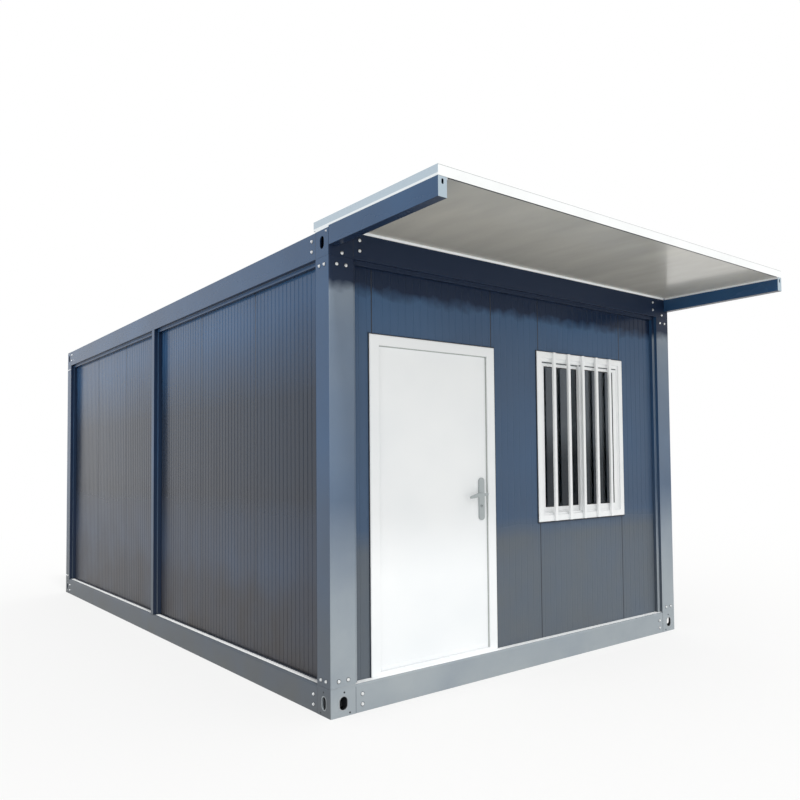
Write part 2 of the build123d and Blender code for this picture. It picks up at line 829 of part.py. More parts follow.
# Canopy trim: an angle round the ceiling, along the house and along both arms
with BuildPart() as canopy_trim_angle:
    with BuildSketch(lengthwise_plane(left_x + arm_width)):
        outline(
            (0, canopy_underside),
            (-canopy_trim, canopy_height(-canopy_trim)),
            (-canopy_trim, canopy_height(-canopy_trim) - canopy_trim_steel),
            (-canopy_trim_steel, canopy_height(-canopy_trim) - canopy_trim_steel),
            (-canopy_trim_steel, canopy_underside - canopy_trim),
            (0, canopy_underside - canopy_trim),
        )
    extrude(amount=house_width - 2 * arm_width)
    for start in (left_x + arm_width, right_x - arm_width - canopy_trim_steel):
        with BuildSketch(lengthwise_plane(start)):
            outline(
                (-canopy_trim, canopy_height(-canopy_trim)),
                (-canopy_reach, tip_head),
                (-canopy_reach, tip_head - canopy_trim),
                (-canopy_trim, canopy_height(-canopy_trim) - canopy_trim),
            )
        extrude(amount=canopy_trim_steel)
save(canopy_trim_angle, "canopy_trim")
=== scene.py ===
# %% [markdown]
# # A modular home, dressed
# The house is a bolted steel frame with sandwich-panel walls, a white door, a sliding window behind
# upright bars, and a canopy over the front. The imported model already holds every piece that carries,
# fits or moves. This lesson adds what the eye looks for on it: paint and its flaws, bolts, seals,
# bars, folded edges and roof screws, and then the light and the camera.

# %% Load the fixed frame
import math

import bpy
import numpy as np
from mathutils import Matrix, Vector


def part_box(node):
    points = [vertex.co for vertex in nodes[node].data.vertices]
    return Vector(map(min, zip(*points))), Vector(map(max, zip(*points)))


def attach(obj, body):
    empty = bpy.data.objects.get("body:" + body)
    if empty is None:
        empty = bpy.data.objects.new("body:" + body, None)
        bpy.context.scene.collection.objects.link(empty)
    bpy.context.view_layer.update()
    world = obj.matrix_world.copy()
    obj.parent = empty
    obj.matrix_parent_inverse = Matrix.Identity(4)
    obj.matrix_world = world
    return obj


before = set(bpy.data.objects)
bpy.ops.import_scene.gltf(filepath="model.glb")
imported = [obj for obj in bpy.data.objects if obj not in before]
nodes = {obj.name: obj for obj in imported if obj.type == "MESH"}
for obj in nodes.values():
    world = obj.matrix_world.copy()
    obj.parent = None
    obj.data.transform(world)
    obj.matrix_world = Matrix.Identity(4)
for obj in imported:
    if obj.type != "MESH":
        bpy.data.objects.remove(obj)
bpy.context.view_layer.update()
print("nodes in the frame:", len(nodes))

# %% [markdown]
# ## Places on the house
# Everything is placed from the corner blocks, because on the real frame they are the fixed points
# that the beams and posts are bolted to. A side is read as one stands in front of it: a distance
# along it and a height. Typed-in places would do, but these follow the house when its size changes.

# %% Corners, levels and sides
head_low, head_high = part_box("top_corner_blocks")
left, right = head_low.x, head_high.x
front, rear = head_low.y, head_high.y
head_level, roof_height = head_low.z, head_high.z
base_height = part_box("base_corner_blocks")[1].z

sides = {
    "front": ((left, front), (1, 0), right - left),
    "right": ((right, front), (0, 1), rear - front),
    "rear": ((right, rear), (-1, 0), right - left),
    "left": ((left, rear), (0, -1), rear - front),
}


def place(side, along, height):
    """A matrix whose x runs along a side, y is up and z points outwards, set at a place on it."""
    (start_x, start_y), (run_x, run_y), _ = sides[side]
    return np.array(
        [
            [run_x, 0, run_y, start_x + run_x * along],
            [run_y, 0, -run_x, start_y + run_y * along],
            [0, 1, 0, height],
            [0, 0, 0, 1],
        ],
        float,
    )


print("house", round(right - left, 3), "x", round(rear - front, 3), "x", round(roof_height, 3), "m")

# %% [markdown]
# ## The camera
# The camera comes first, so that every later choice is judged from the right place. It was worked
# out from the edges of the frame: a lens of 34 mm on a 36 mm sensor, 1.34 m above the ground, ahead
# and to the left of the front left corner. The optical axis lies to the right of the middle of the
# picture, which a lens shift repeats.

# %% Camera
picture = 800
focal_pixels = 761.79
axis_pixel = (529.42, 432.22)
camera_place = Vector((-3.485, -6.1833, 1.3383))
yaw, pitch, roll = 0.7484, 0.040, -0.0154


def make_camera():
    """Look along yaw (from +Y towards +X) and pitch, then roll about the axis of view."""
    data = bpy.data.cameras.new("camera")
    data.sensor_width = 36.0
    data.lens = focal_pixels * data.sensor_width / picture
    data.shift_x = (picture / 2 - axis_pixel[0]) / picture
    data.shift_y = (axis_pixel[1] - picture / 2) / picture
    data.clip_end = 200.0
    ahead = Vector((math.sin(yaw) * math.cos(pitch), math.cos(yaw) * math.cos(pitch), math.sin(pitch)))
    level_right = ahead.cross(Vector((0, 0, 1))).normalized()
    level_up = level_right.cross(ahead)
    turned_right = math.cos(roll) * level_right + math.sin(roll) * level_up
    turned_up = math.cos(roll) * level_up - math.sin(roll) * level_right
    turn = Matrix((turned_right, turned_up, -ahead)).transposed().to_4x4()
    camera = bpy.data.objects.new("camera", data)
    camera.matrix_world = Matrix.Translation(camera_place) @ turn
    bpy.context.scene.collection.objects.link(camera)
    bpy.context.scene.camera = camera
    return camera


print("lens", round(make_camera().data.lens, 2), "mm")

# %% [markdown]
# ## Surfaces from arrays
# Nearly every small piece here is a stack of rings: a bolt head, a bar, a tube. A ring is a row of
# points, a stack of rings is a grid, and a grid gives its faces by counting. A seal round a window
# is the same thing with its last ring joined to its first. Blender's own modelling tools could make
# them too, but arrays are quick for hundreds of bolts and come out alike every time.

# %% Stacks and bands of rings
def ring_quads(rows, across, closed=False):
    """Quads of a grid of rings: each point, the next round, and the two above them."""
    last = rows if closed else rows - 1
    row, column = np.meshgrid(np.arange(last), np.arange(across), indexing="ij")
    here = row * across
    above = (row + 1) % rows * across
    beside = (column + 1) % across
    return np.stack([here + column, here + beside, above + beside, above + column], -1).reshape(-1, 4)


def stacked(rings):
    """A closed surface: rings (rows x across x 3) side by side, and a fan from each end's middle."""
    rows, across, _ = rings.shape
    points = np.vstack([rings.reshape(-1, 3), rings[0].mean(0), rings[-1].mean(0)])
    start = np.arange(across)
    after = (start + 1) % across
    foot = np.stack([np.full(across, rows * across), after, start], -1)
    top = np.stack([np.full(across, rows * across + 1), start, after], -1)
    top[:, 1:] += (rows - 1) * across
    return points, ring_quads(rows, across), np.vstack([foot, top])


def looped(rings):
    """A closed band: rings (rows x across x 3) whose last ring joins the first."""
    rows, across, _ = rings.shape
    return rings.reshape(-1, 3), ring_quads(rows, across, True), np.zeros((0, 3), int)


print("three rings of eight points have", len(ring_quads(3, 8)), "quads between them")


# %% Facing, joining and copying
def outward(surface):
    """Turn a closed surface right side out: its tetrahedra from the origin must add up to more than 0."""
    points, quads, triangles = surface
    faces = np.vstack([quads[:, :3], quads[:, [0, 2, 3]], triangles])
    first, second, third = (points[faces[:, column]] for column in range(3))
    volume = np.einsum("ij,ij->i", first, np.cross(second, third)).sum()
    return surface if volume > 0 else (points, quads[:, ::-1], triangles[:, ::-1])


def joined(*surfaces):
    """Several surfaces as one: points in a row, and each one's faces counted on from the last."""
    starts = np.cumsum([0] + [len(s[0]) for s in surfaces[:-1]])
    points = np.vstack([s[0] for s in surfaces])
    quads = np.vstack([s[1] + start for s, start in zip(surfaces, starts)])
    triangles = np.vstack([s[2] + start for s, start in zip(surfaces, starts)])
    return points, quads, triangles


def copies(surface, places):
    """One surface at many places: every point times every placing matrix, all at once."""
    points, quads, triangles = surface
    places = np.asarray(places)
    spread = np.einsum("nij,pj->npi", places[:, :3, :3], points) + places[:, None, :3, 3]
    steps = np.arange(len(places))[:, None, None] * len(points)
    return spread.reshape(-1, 3), (quads + steps).reshape(-1, 4), (triangles + steps).reshape(-1, 3)


def piece(name, surface, body, finish, smooth_under=35):
    """Make a mesh object from a surface, smooth it up to an angle, and let it ride on a body."""
    points, quads, triangles = surface
    mesh = bpy.data.meshes.new(name)
    mesh.from_pydata(points.tolist(), [], quads.tolist() + triangles.tolist())
    mesh.polygons.foreach_set("use_smooth", np.ones(len(mesh.polygons), bool))
    mesh.set_sharp_from_angle(angle=math.radians(smooth_under))
    mesh.materials.append(finish)
    mesh.validate()
    made = bpy.data.objects.new(name, mesh)
    bpy.context.scene.collection.objects.link(made)
    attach(made, body)
    print(name, "faces", len(mesh.polygons))


# %% [markdown]
# ## Colours and nodes
# Colours are written as they look on a screen and turned to the linear values that light needs. One
# function adds a node: its settings, what goes into it, and which of its results is wanted. Numbers
# for an input are its place in the node's list: on a Mix, 0 is the factor, 2 and 3 are the values
# and 6 and 7 the colours. On a Map Range, 1 and 2 are where it starts from, and 3 and 4 where to.

# %% Colours, nodes and materials
in_colour = {"out": 2, "data_type": "RGBA"}


def linear(colour):
    """sRGB hex to linear: low values divide by 12.92, the rest follow the 2.4 power curve."""
    parts = [int(colour[i : i + 2], 16) / 255 for i in (1, 3, 5)]
    return [p / 12.92 if p <= 0.04045 else ((p + 0.055) / 1.055) ** 2.4 for p in parts] + [1.0]


def fill(socket, value):
    """Set a socket: a hex colour is turned linear first."""
    socket.default_value = linear(value) if isinstance(value, str) else value


def add(tree, kind, inputs, out=0, **settings):
    """Add a node: its settings, then each input as a link, a hex colour or a value. Gives one result."""
    made = tree.nodes.new("ShaderNode" + kind)
    for name, value in settings.items():
        setattr(made, name, value)
    for name, value in inputs.items():
        if isinstance(value, bpy.types.NodeSocket):
            tree.links.new(value, made.inputs[name])
        else:
            fill(made.inputs[name], value)
    return made.outputs[out]


def material(name, **constants):
    """A new material with these constants on its shader. Returns it, its tree and the place on it."""
    made = bpy.data.materials.new(name)
    made.use_nodes = True
    tree = made.node_tree
    for socket, value in constants.items():
        fill(tree.nodes["Principled BSDF"].inputs[socket.replace("_", " ")], value)
    return made, tree, add(tree, "TexCoord", {}, "Object")


def finished(made, **results):
    """Link results to the sockets of a material's shader, and give the material."""
    for socket, result in results.items():
        shader = made.node_tree.nodes["Principled BSDF"]
        made.node_tree.links.new(result, shader.inputs[socket.replace("_", " ")])
    print("material", made.name, "with", len(made.node_tree.nodes), "nodes")
    return made


print("half grey on the screen is", round(linear("#808080")[0], 3), "in light")


# %% Patches, relief and levels
def patches(tree, spot, millimetres, low=0.0, high=1.0, detail=3.0, between=(0.3, 0.7)):
    """Cloudy patches about this many millimetres across, running from one value to another."""
    cloud = add(tree, "TexNoise", {"Vector": spot, "Scale": 1000 / millimetres, "Detail": detail})
    return add(tree, "MapRange", {0: cloud, 1: between[0], 2: between[1], 3: low, 4: high})


def relief(tree, spot, millimetres, strength, deep, detail=1.0, **under):
    """Bumps about this many millimetres across and this many deep, alone or on a Normal under them."""
    cloud = add(tree, "TexNoise", {"Vector": spot, "Scale": 1000 / millimetres, "Detail": detail})
    return add(tree, "Bump", {"Height": cloud, "Strength": strength, "Distance": deep / 1000, **under})


def level_at(tree, height, stops):
    """A level by height: from each (height, level) to the next it changes in a straight line."""
    level = stops[0][1]
    for (low, before), (high, after) in zip(stops, stops[1:]):
        change = add(tree, "MapRange", {0: height, 1: low, 2: high, 3: 0.0, 4: after - before})
        level = add(tree, "Math", {0: level, 1: change}, operation="ADD")
    return level


print("patches 700 mm across are drawn at a scale of", round(1000 / 700, 2))


# %% [markdown]
# ## Painted steel
# Frame and sheet share one sapphire-navy enamel, but not one surface. The roll-formed members are
# thick and sprayed: their gloss is broken by fine orange peel. The panels' skins are half a
# millimetre of coil-coated sheet on foam: smooth close up, but they bow a little between their ribs,
# and the bowing bends every reflection. Enamel over primer has an index near 1.5. A film by height
# lies on it, partly road dust and partly painted light. On the front it is pale, with a step near the
# foot of the window that paints the sunlit wall below the canopy's shadow, and on the frame a painted
# sheen of ground and sky. On the long sides it is brown and darker, dust and a painted reflection of
# the ground. It is everywhere thickest below the window sill. The long sides also carry a dark band
# between hip and head height, a painted reflection. High on the front under the canopy, on undersides,
# and in the folds of the posts further back, the navy is painted deeper as shade. A painted picture
# could carry all this, but masks by height and facing need none and fit a house of any size.

# %% Which way a face looks, and where dust and painted light lie
navy = "#2d547c"
navy_deep = "#27486c"
navy_shaded = "#192840"
shade_from, shade_full = 2.29, 2.36
front_depth = 0.3


def forward_faces(tree, spot):
    """Two masks of what faces forwards: the house's own front, and folds of the frame behind it."""
    facing = add(tree, "SeparateXYZ", {0: add(tree, "NewGeometry", {}, "Normal")}, "Y")
    forwards = add(tree, "Math", {0: facing, 1: -0.4}, operation="LESS_THAN")
    depth = add(tree, "SeparateXYZ", {0: spot}, "Y")
    behind = add(tree, "Math", {0: depth, 1: front + front_depth}, operation="GREATER_THAN")
    fold = add(tree, "Math", {0: forwards, 1: behind}, operation="MULTIPLY")
    return add(tree, "Math", {0: forwards, 1: fold}, operation="SUBTRACT"), fold


def dust_and_painted_light(tree, spot, clean, front_film, side_film):
    """Lay a film of dust and painted light over a colour by height: one colour and thickness on the front,
    others on the rest.
    """
    height = add(tree, "SeparateXYZ", {0: spot}, "Z")
    own_front, _ = forward_faces(tree, spot)
    thick_side, thick_front = (level_at(tree, height, film[1]) for film in (side_film, front_film))
    thick = add(tree, "Mix", {0: own_front, 2: thick_side, 3: thick_front})
    colour = add(tree, "Mix", {0: own_front, 6: side_film[0], 7: front_film[0]}, **in_colour)
    uneven = patches(tree, spot, 300, 0.82, 1.0, 5.0)
    film = add(tree, "Math", {0: thick, 1: uneven}, operation="MULTIPLY")
    return add(tree, "Mix", {0: film, 6: clean, 7: colour}, **in_colour), film


print("what faces forwards counts as the front up to y =", round(front + front_depth, 3))


# %% Painted shade, and the room's side
def painted_shade(tree, spot, colour, fold_share):
    """Painted shade: deep navy high up on the front and on undersides, and by some share in the folds."""
    height = add(tree, "SeparateXYZ", {0: spot}, "Z")
    ragged = add(tree, "Math", {0: height, 1: patches(tree, spot, 90, -0.02, 0.02, 2.0)}, operation="ADD")
    high = add(tree, "MapRange", {0: ragged, 1: shade_from, 2: shade_full})
    own_front, fold = forward_faces(tree, spot)
    under_canopy = add(tree, "Math", {0: high, 1: own_front}, operation="MULTIPLY")
    in_fold = add(tree, "Math", {0: fold, 1: fold_share}, operation="MULTIPLY")
    canopy_and_fold_shade = add(tree, "Math", {0: under_canopy, 1: in_fold}, operation="MAXIMUM")
    upward = add(tree, "SeparateXYZ", {0: add(tree, "NewGeometry", {}, "Normal")}, "Z")
    downward = add(tree, "Math", {0: upward, 1: -0.5}, operation="LESS_THAN")
    underside = add(tree, "Math", {0: high, 1: downward}, operation="MULTIPLY")
    shade = add(tree, "Math", {0: canopy_and_fold_shade, 1: underside}, operation="MAXIMUM")
    return add(tree, "Mix", {0: shade, 6: colour, 7: navy_shaded}, **in_colour)


def room_side(tree, spot):
    """One inside the room's skin, nought outside it: the panels are painted white on that side."""
    skin = 0.004
    half_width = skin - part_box("left_wall_front_bay")[1].x
    near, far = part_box("front_wall_left")[1].y - skin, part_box("rear_wall")[0].y + skin
    inside = 1.0
    for axis, middle, half in (("X", 0.0, half_width), ("Y", (near + far) / 2, (far - near) / 2)):
        along = add(tree, "SeparateXYZ", {0: spot}, axis)
        off = add(tree, "Math", {0: along, 1: middle}, operation="SUBTRACT")
        reach = add(tree, "Math", {0: off}, operation="ABSOLUTE")
        within = add(tree, "Math", {0: reach, 1: half}, operation="LESS_THAN")
        inside = add(tree, "Math", {0: inside, 1: within}, operation="MULTIPLY")
    return inside


# Above this height the front is covered by painted shade.
print("no dust settles on the front above", shade_full, "m")


# %% Enamel on the frame
def frame_enamel():
    """Sprayed gloss enamel on 3 mm steel: orange peel about 3 mm across, dust with painted light and shade,
    and bare arm ends.
    """
    made, tree, spot = material("frame_enamel", IOR=1.5, Specular_IOR_Level=0.25)
    clean = add(tree, "Mix", {0: patches(tree, spot, 700), 6: navy_deep, 7: navy}, **in_colour)
    # Front: dust, with a painted reflection of the ground low down and of the sky's sheen near the head.
    # Sides: dust, with a painted reflection of the ground low down.
    front_dust_and_light = ("#a9b0b3", ((0, 0.92), (0.15, 0.9), (0.65, 0.76), (1.15, 0.25), (2.1, 0.42), (2.3, 0.56)))
    side_dust_and_light = ("#64635b", ((0, 0.8), (0.25, 0.68), (0.9, 0.4), (1.5, 0.12), (2.7, 0.04)))
    dusty_and_lit, film = dust_and_painted_light(tree, spot, clean, front_dust_and_light, side_dust_and_light)
    # Painted shade over the film: high on the front, on undersides, and in the folds.
    painted = painted_shade(tree, spot, dusty_and_lit, 0.85)
    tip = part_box("canopy_arm_left")[0].y + 0.0015
    is_tip = add(tree, "Math", {0: add(tree, "SeparateXYZ", {0: spot}, "Y"), 1: tip}, operation="LESS_THAN")
    colour = add(tree, "Mix", {0: is_tip, 6: painted, 7: "#aab9c4"}, **in_colour)
    dulled = add(tree, "MapRange", {0: film, 3: 0.26, 4: 0.56})
    dents = relief(tree, spot, 180, 0.25, 2.0)
    peel = relief(tree, spot, 3.5, 0.12, 0.3, Normal=dents)
    return finished(made, Base_Color=colour, Roughness=dulled, Normal=peel)


frame_paint = frame_enamel()


# %% Sheet on the walls
def wall_sheet():
    """Coil-coated sheet: gloss navy outside, a tenth paler on the front, with a painted dark reflection on
    the long sides, dust and painted light, and satin white inside.
    """
    made, tree, spot = material("wall_sheet", IOR=1.5, Specular_IOR_Level=0.2)
    new = add(tree, "Mix", {0: patches(tree, spot, 900, detail=2.0), 6: navy_deep, 7: navy}, **in_colour)
    own_front, _ = forward_faces(tree, spot)
    height = add(tree, "SeparateXYZ", {0: spot}, "Z")
    # Painted reflection: a dark band between hip and head height on the long sides.
    dark_reflection_level = level_at(tree, height, ((0.7, 0.0), (1.15, 0.75), (1.75, 0.75), (2.3, 0.0)))
    dark_reflection_share = add(tree, "Mix", {0: own_front, 2: dark_reflection_level, 3: 0.0})
    with_dark_reflection = add(tree, "Mix", {0: dark_reflection_share, 6: new, 7: "#161b23"}, **in_colour)
    # The front faces are made a tenth paler, towards blue-grey.
    paler_share = add(tree, "Math", {0: own_front, 1: 0.1}, operation="MULTIPLY")
    clean = add(tree, "Mix", {0: paler_share, 6: with_dark_reflection, 7: "#8296b0"}, **in_colour)
    # Front: dust, and a step near the window's foot that paints the sunlit wall below the canopy's shadow.
    # Sides: dust, with a painted reflection of the ground low down.
    front_dust_and_light = ("#6a6b66", ((0, 0.76), (0.84, 0.7), (0.98, 0.24), (2.0, 0.2), (2.45, 0.0)))
    side_dust_and_light = ("#3d3427", ((0, 0.92), (0.5, 0.8), (1.3, 0.25), (2.2, 0.0)))
    dusty_and_lit, film = dust_and_painted_light(tree, spot, clean, front_dust_and_light, side_dust_and_light)
    # Painted shade high on the front and on undersides, and a little on the rib flanks in the folds.
    painted = painted_shade(tree, spot, dusty_and_lit, 0.3)
    colour = add(tree, "Mix", {0: room_side(tree, spot), 6: painted, 7: "#dcdfdf"}, **in_colour)
    dulled = add(tree, "MapRange", {0: film, 3: 0.18, 4: 0.43})
    tall = add(tree, "Mapping", {"Vector": spot, "Scale": (1.0, 1.0, 0.35)})
    bowed = relief(tree, tall, 250, 0.35, 6.0)
    rippled = relief(tree, spot, 60, 0.05, 1.0, 2.0, Normal=bowed)
    return finished(made, Base_Color=colour, Roughness=dulled, Normal=rippled)


wall_paint = wall_sheet()

# %% [markdown]
# ## White parts
# Door and frame are powder-coated steel: a satin white with a fine, soft texture. The window is
# extruded white plastic, whiter and glossier. The canopy and the roof are coil-coated white sheet,
# greyer, and dusty where the rain stands; the canopy's underside and ends carry painted shade. One
# white could serve them all, but side by side on the front it is the small differences that tell them
# apart.

# %% Door and window white
def powder_coat():
    """Satin powder coat on the door: texture about 1 mm, drawn at 2 mm so that it shows."""
    made, tree, spot = material("door_powder_coat", IOR=1.5, Roughness=0.38)
    cloud = patches(tree, spot, 500, detail=2.0)
    colour = add(tree, "Mix", {0: cloud, 6: "#f1f4f6", 7: "#f7f9fa"}, **in_colour)
    return finished(made, Base_Color=colour, Normal=relief(tree, spot, 2, 0.08, 0.2))


def window_plastic():
    """Extruded white plastic: smooth, with faint draw lines along it about 4 mm apart."""
    made, tree, spot = material("window_plastic", IOR=1.53, Roughness=0.28)
    cloud = patches(tree, spot, 120, detail=2.0)
    colour = add(tree, "Mix", {0: cloud, 6: "#f5f8f9", 7: "#fbfcfd"}, **in_colour)
    drawn = add(tree, "Mapping", {"Vector": spot, "Scale": (1, 1, 0.02)})
    return finished(made, Base_Color=colour, Normal=relief(tree, drawn, 4, 0.05, 0.2))


door_paint = powder_coat()
window_white = window_plastic()

# %% Canopy and roof sheet
canopy_slope = 0.014
hem_top = 0.010


def canopy_coat():
    """White coil-coated sheet: streaked brown-grey painted shade below, and blue-grey painted shade on the
    ends above a bright hem.
    """
    made, tree, spot = material("canopy_coat", IOR=1.5, Roughness=0.24, Coat_Weight=0.2)
    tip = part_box("canopy_panel")[0]
    along, height = (add(tree, "SeparateXYZ", {0: spot}, axis) for axis in "YZ")
    back = add(tree, "Math", {0: along, 1: tip.y}, operation="SUBTRACT")
    fallen = add(tree, "Math", {0: back, 1: canopy_slope}, operation="MULTIPLY")
    above_tip = add(tree, "Math", {0: height, 1: tip.z}, operation="SUBTRACT")
    rise = add(tree, "Math", {0: above_tip, 1: fallen}, operation="SUBTRACT")
    normal = add(tree, "NewGeometry", {}, "Normal")
    upward = add(tree, "SeparateXYZ", {0: normal}, "Z")
    sideways = add(tree, "Math", {0: add(tree, "SeparateXYZ", {0: normal}, "X")}, operation="ABSOLUTE")
    long_smears = add(tree, "Mapping", {"Vector": spot, "Scale": (1, 0.25, 1)})
    streak = patches(tree, long_smears, 180, detail=4.0, between=(0.35, 0.7))
    # Underside: the white sheet painted brown-grey as the shade it lies in, with streaks.
    under = add(tree, "Mix", {0: streak, 6: "#b4b1a8", 7: "#c2beb4"}, **in_colour)
    front_face = add(tree, "Mix", {0: streak, 6: "#eef0f0", 7: "#f3f5f5"}, **in_colour)
    above_hem = add(tree, "MapRange", {0: rise, 1: hem_top, 2: hem_top + 0.004})
    # Ends: painted blue-grey shade above the hem, white below it.
    end = add(tree, "Mix", {0: above_hem, 6: "#e9eff3", 7: "#b1c2cf"}, **in_colour)
    at_end = add(tree, "MapRange", {0: sideways, 1: 0.3, 2: 0.8})
    edges = add(tree, "Mix", {0: at_end, 6: front_face, 7: end}, **in_colour)
    on_top = add(tree, "MapRange", {0: upward, 1: 0.4, 2: 0.8})
    seen_above = add(tree, "Mix", {0: on_top, 6: edges, 7: "#dde1e2"}, **in_colour)
    below = add(tree, "MapRange", {0: upward, 1: -0.2, 2: -0.9})
    colour = add(tree, "Mix", {0: below, 6: seen_above, 7: under}, **in_colour)
    return finished(made, Base_Color=colour, Normal=relief(tree, spot, 400, 0.2, 4.0))


def roof_coat():
    """Pale grey roof sheet with rain streaks and dust in the pans between the ribs."""
    made, tree, spot = material("roof_coat", IOR=1.5, Roughness=0.42)
    across = add(tree, "Mapping", {"Vector": spot, "Scale": (0.12, 1, 1)})
    dirt = patches(tree, across, 90, 0.0, 0.6, 5.0, (0.42, 0.75))
    colour = add(tree, "Mix", {0: dirt, 6: "#c3c7c8", 7: "#a3a39d"}, **in_colour)
    return finished(made, Base_Color=colour, Normal=relief(tree, spot, 220, 0.3, 3.0))


canopy_white = canopy_coat()
roof_grey_and_shade_line = roof_coat()

# %% [markdown]
# ## Bare metal, rubber, glass and the floor
# Zinc shows its crystals, about 12 mm across. The handle is satin stainless steel. Seals are black
# rubber, nearly matt. The glass is clear float glass with a cool tint, so the room behind it reads
# dark; its colour and reflection tint are painted by height, a bright sky reflection above and a
# darker ground reflection below. Scratches and draw lines could be real grooves, but at half a
# millimetre a stretched noise does as well, and costs nothing.

# %% Metal
def zinc():
    """Hot-dip galvanised steel: crystals about 12 mm across with slightly different greys."""
    made, tree, spot = material("galvanised_steel", Metallic=1.0)
    crystal = add(tree, "TexVoronoi", {"Vector": spot, "Scale": 1000 / 12}, "Color")
    shade = add(tree, "SeparateColor", {"Color": crystal}, "Red")
    colour = add(tree, "Mix", {0: shade, 6: "#9aa0a3", 7: "#b9bec0"}, **in_colour)
    return finished(made, Base_Color=colour, Roughness=add(tree, "MapRange", {0: shade, 3: 0.34, 4: 0.5}))


def satin_steel():
    """Brushed stainless steel: scratches about 0.5 mm apart, drawn at 1.5 mm so that they show."""
    made, tree, spot = material("satin_steel", Metallic=1.0, Roughness=0.33)
    drawn = add(tree, "Mapping", {"Vector": spot, "Scale": (1, 1, 0.05)})
    strokes = add(tree, "TexNoise", {"Vector": drawn, "Scale": 1000 / 1.5, "Detail": 2.0})
    colour = add(tree, "Mix", {0: strokes, 6: "#9da4a5", 7: "#b4babb"}, **in_colour)
    brushed = add(tree, "Bump", {"Height": strokes, "Strength": 0.06, "Distance": 0.0001})
    return finished(made, Base_Color=colour, Normal=brushed)


def bright_zinc():
    """Electro-plated zinc on bolts and screws: pale, slightly cloudy."""
    made, tree, spot = material("bright_zinc", Metallic=1.0, Roughness=0.35)
    cloud = add(tree, "TexNoise", {"Vector": spot, "Scale": 1000 / 9, "Detail": 2.0})
    return finished(made, Base_Color=add(tree, "Mix", {0: cloud, 6: "#e6e9ea", 7: "#fafbfb"}, **in_colour))


galvanised_and_highlight = zinc()
stainless = satin_steel()
plated = bright_zinc()


# %% Rubber and sealant
def chalky(name, dark, light, roughness=0.7):
    """Rubber or cured sealant: matt, its colour clouded by chalk about 15 mm across."""
    made, tree, spot = material(name, IOR=1.52, Roughness=roughness)
    paler_share = patches(tree, spot, 15, between=(0.4, 0.8))
    return finished(made, Base_Color=add(tree, "Mix", {0: paler_share, 6: dark, 7: light}, **in_colour))


black_rubber_and_shade = chalky("seal_rubber_and_shade", "#101418", "#1c2126")
grey_rubber_and_shade = chalky("grey_seal", "#a6aba8", "#b4b8b5", 0.55)
track_shade = chalky("track_shade", "#596064", "#6a7074")
dark_sealant_and_shade = chalky("navy_sealant_and_shade", "#131d2b", "#1b2636", 0.45)
highlight_white = chalky("highlight_white", "#f8fafa", "#ffffff", 0.85)


# %% Glass, floor sheet and ceiling board
def float_glass():
    """Tinted float glass: index 1.52, a clear coat for the second pane, and a painted reflection by height:
    bright sky above, darker ground below.
    """
    coats = {"Transmission_Weight": 1.0, "Coat_Weight": 0.5, "Coat_Roughness": 0.0}
    made, tree, spot = material("float_glass", IOR=1.52, Roughness=0.0, **coats)
    height = add(tree, "SeparateXYZ", {0: spot}, "Z")
    # Painted reflection: colour and reflection tint pale above 1.6 m, darker below 1.35 m.
    sky_reflection_share = add(tree, "MapRange", {0: height, 1: 1.35, 2: 1.6})
    colour = add(tree, "Mix", {0: sky_reflection_share, 6: "#5d7484", 7: "#a9bac6"}, **in_colour)
    painted_reflection_tint = add(tree, "Mix", {0: sky_reflection_share, 6: "#56697c", 7: "#e6eefa"}, **in_colour)
    return finished(made, Base_Color=colour, Specular_Tint=painted_reflection_tint)


def floor_sheet():
    """Printed vinyl on board: strips 150 mm wide along the room, with grain about 6 mm wide."""
    made, tree, spot = material("floor_vinyl", IOR=1.5, Roughness=0.45)
    across = add(tree, "SeparateXYZ", {0: spot}, "X")
    strips = add(tree, "Math", {0: across, 1: 0.15}, operation="DIVIDE")
    strip = add(tree, "Math", {0: strips}, operation="FLOOR")
    tone = add(tree, "TexWhiteNoise", {"W": strip}, "Value", noise_dimensions="1D")
    base = add(tree, "Mix", {0: tone, 6: "#8a7358", 7: "#a08768"}, **in_colour)
    drawn = add(tree, "Mapping", {"Vector": spot, "Scale": (1, 0.06, 1)})
    grained = patches(tree, drawn, 6, 0.0, 0.5, 4.0, (0.35, 0.75))
    return finished(made, Base_Color=add(tree, "Mix", {0: grained, 6: base, 7: "#6f5a43"}, **in_colour))


def ceiling_board():
    """Off-white ceiling strips, 200 mm wide, with a shadow line between them."""
    made, tree, spot = material("ceiling_board", IOR=1.5, Roughness=0.5)
    across = add(tree, "SeparateXYZ", {0: spot}, "X")
    strips = add(tree, "Math", {0: across, 1: 0.2}, operation="DIVIDE")
    part = add(tree, "Math", {0: strips}, operation="FRACT")
    off_middle = add(tree, "Math", {0: part, 1: 0.5}, operation="SUBTRACT")
    reach = add(tree, "Math", {0: off_middle}, operation="ABSOLUTE")
    line = add(tree, "MapRange", {0: reach, 1: 0.47, 2: 0.5})
    return finished(made, Base_Color=add(tree, "Mix", {0: line, 6: "#dcddda", 7: "#8d8e8c"}, **in_colour))


glass = float_glass()
vinyl = floor_sheet()
ceiling_white = ceiling_board()

# %% [markdown]
# ## Dress the frame's own nodes
# The solids already have the right shape, so they keep it and get their finish. Their edges are
# mathematically sharp, which no folded or cut steel is, so a bevel of one or two millimetres is added
# after the loose triangles are welded. Rounding them in the solids would be truer, but a modifier
# can be changed or taken off without touching the mesh.

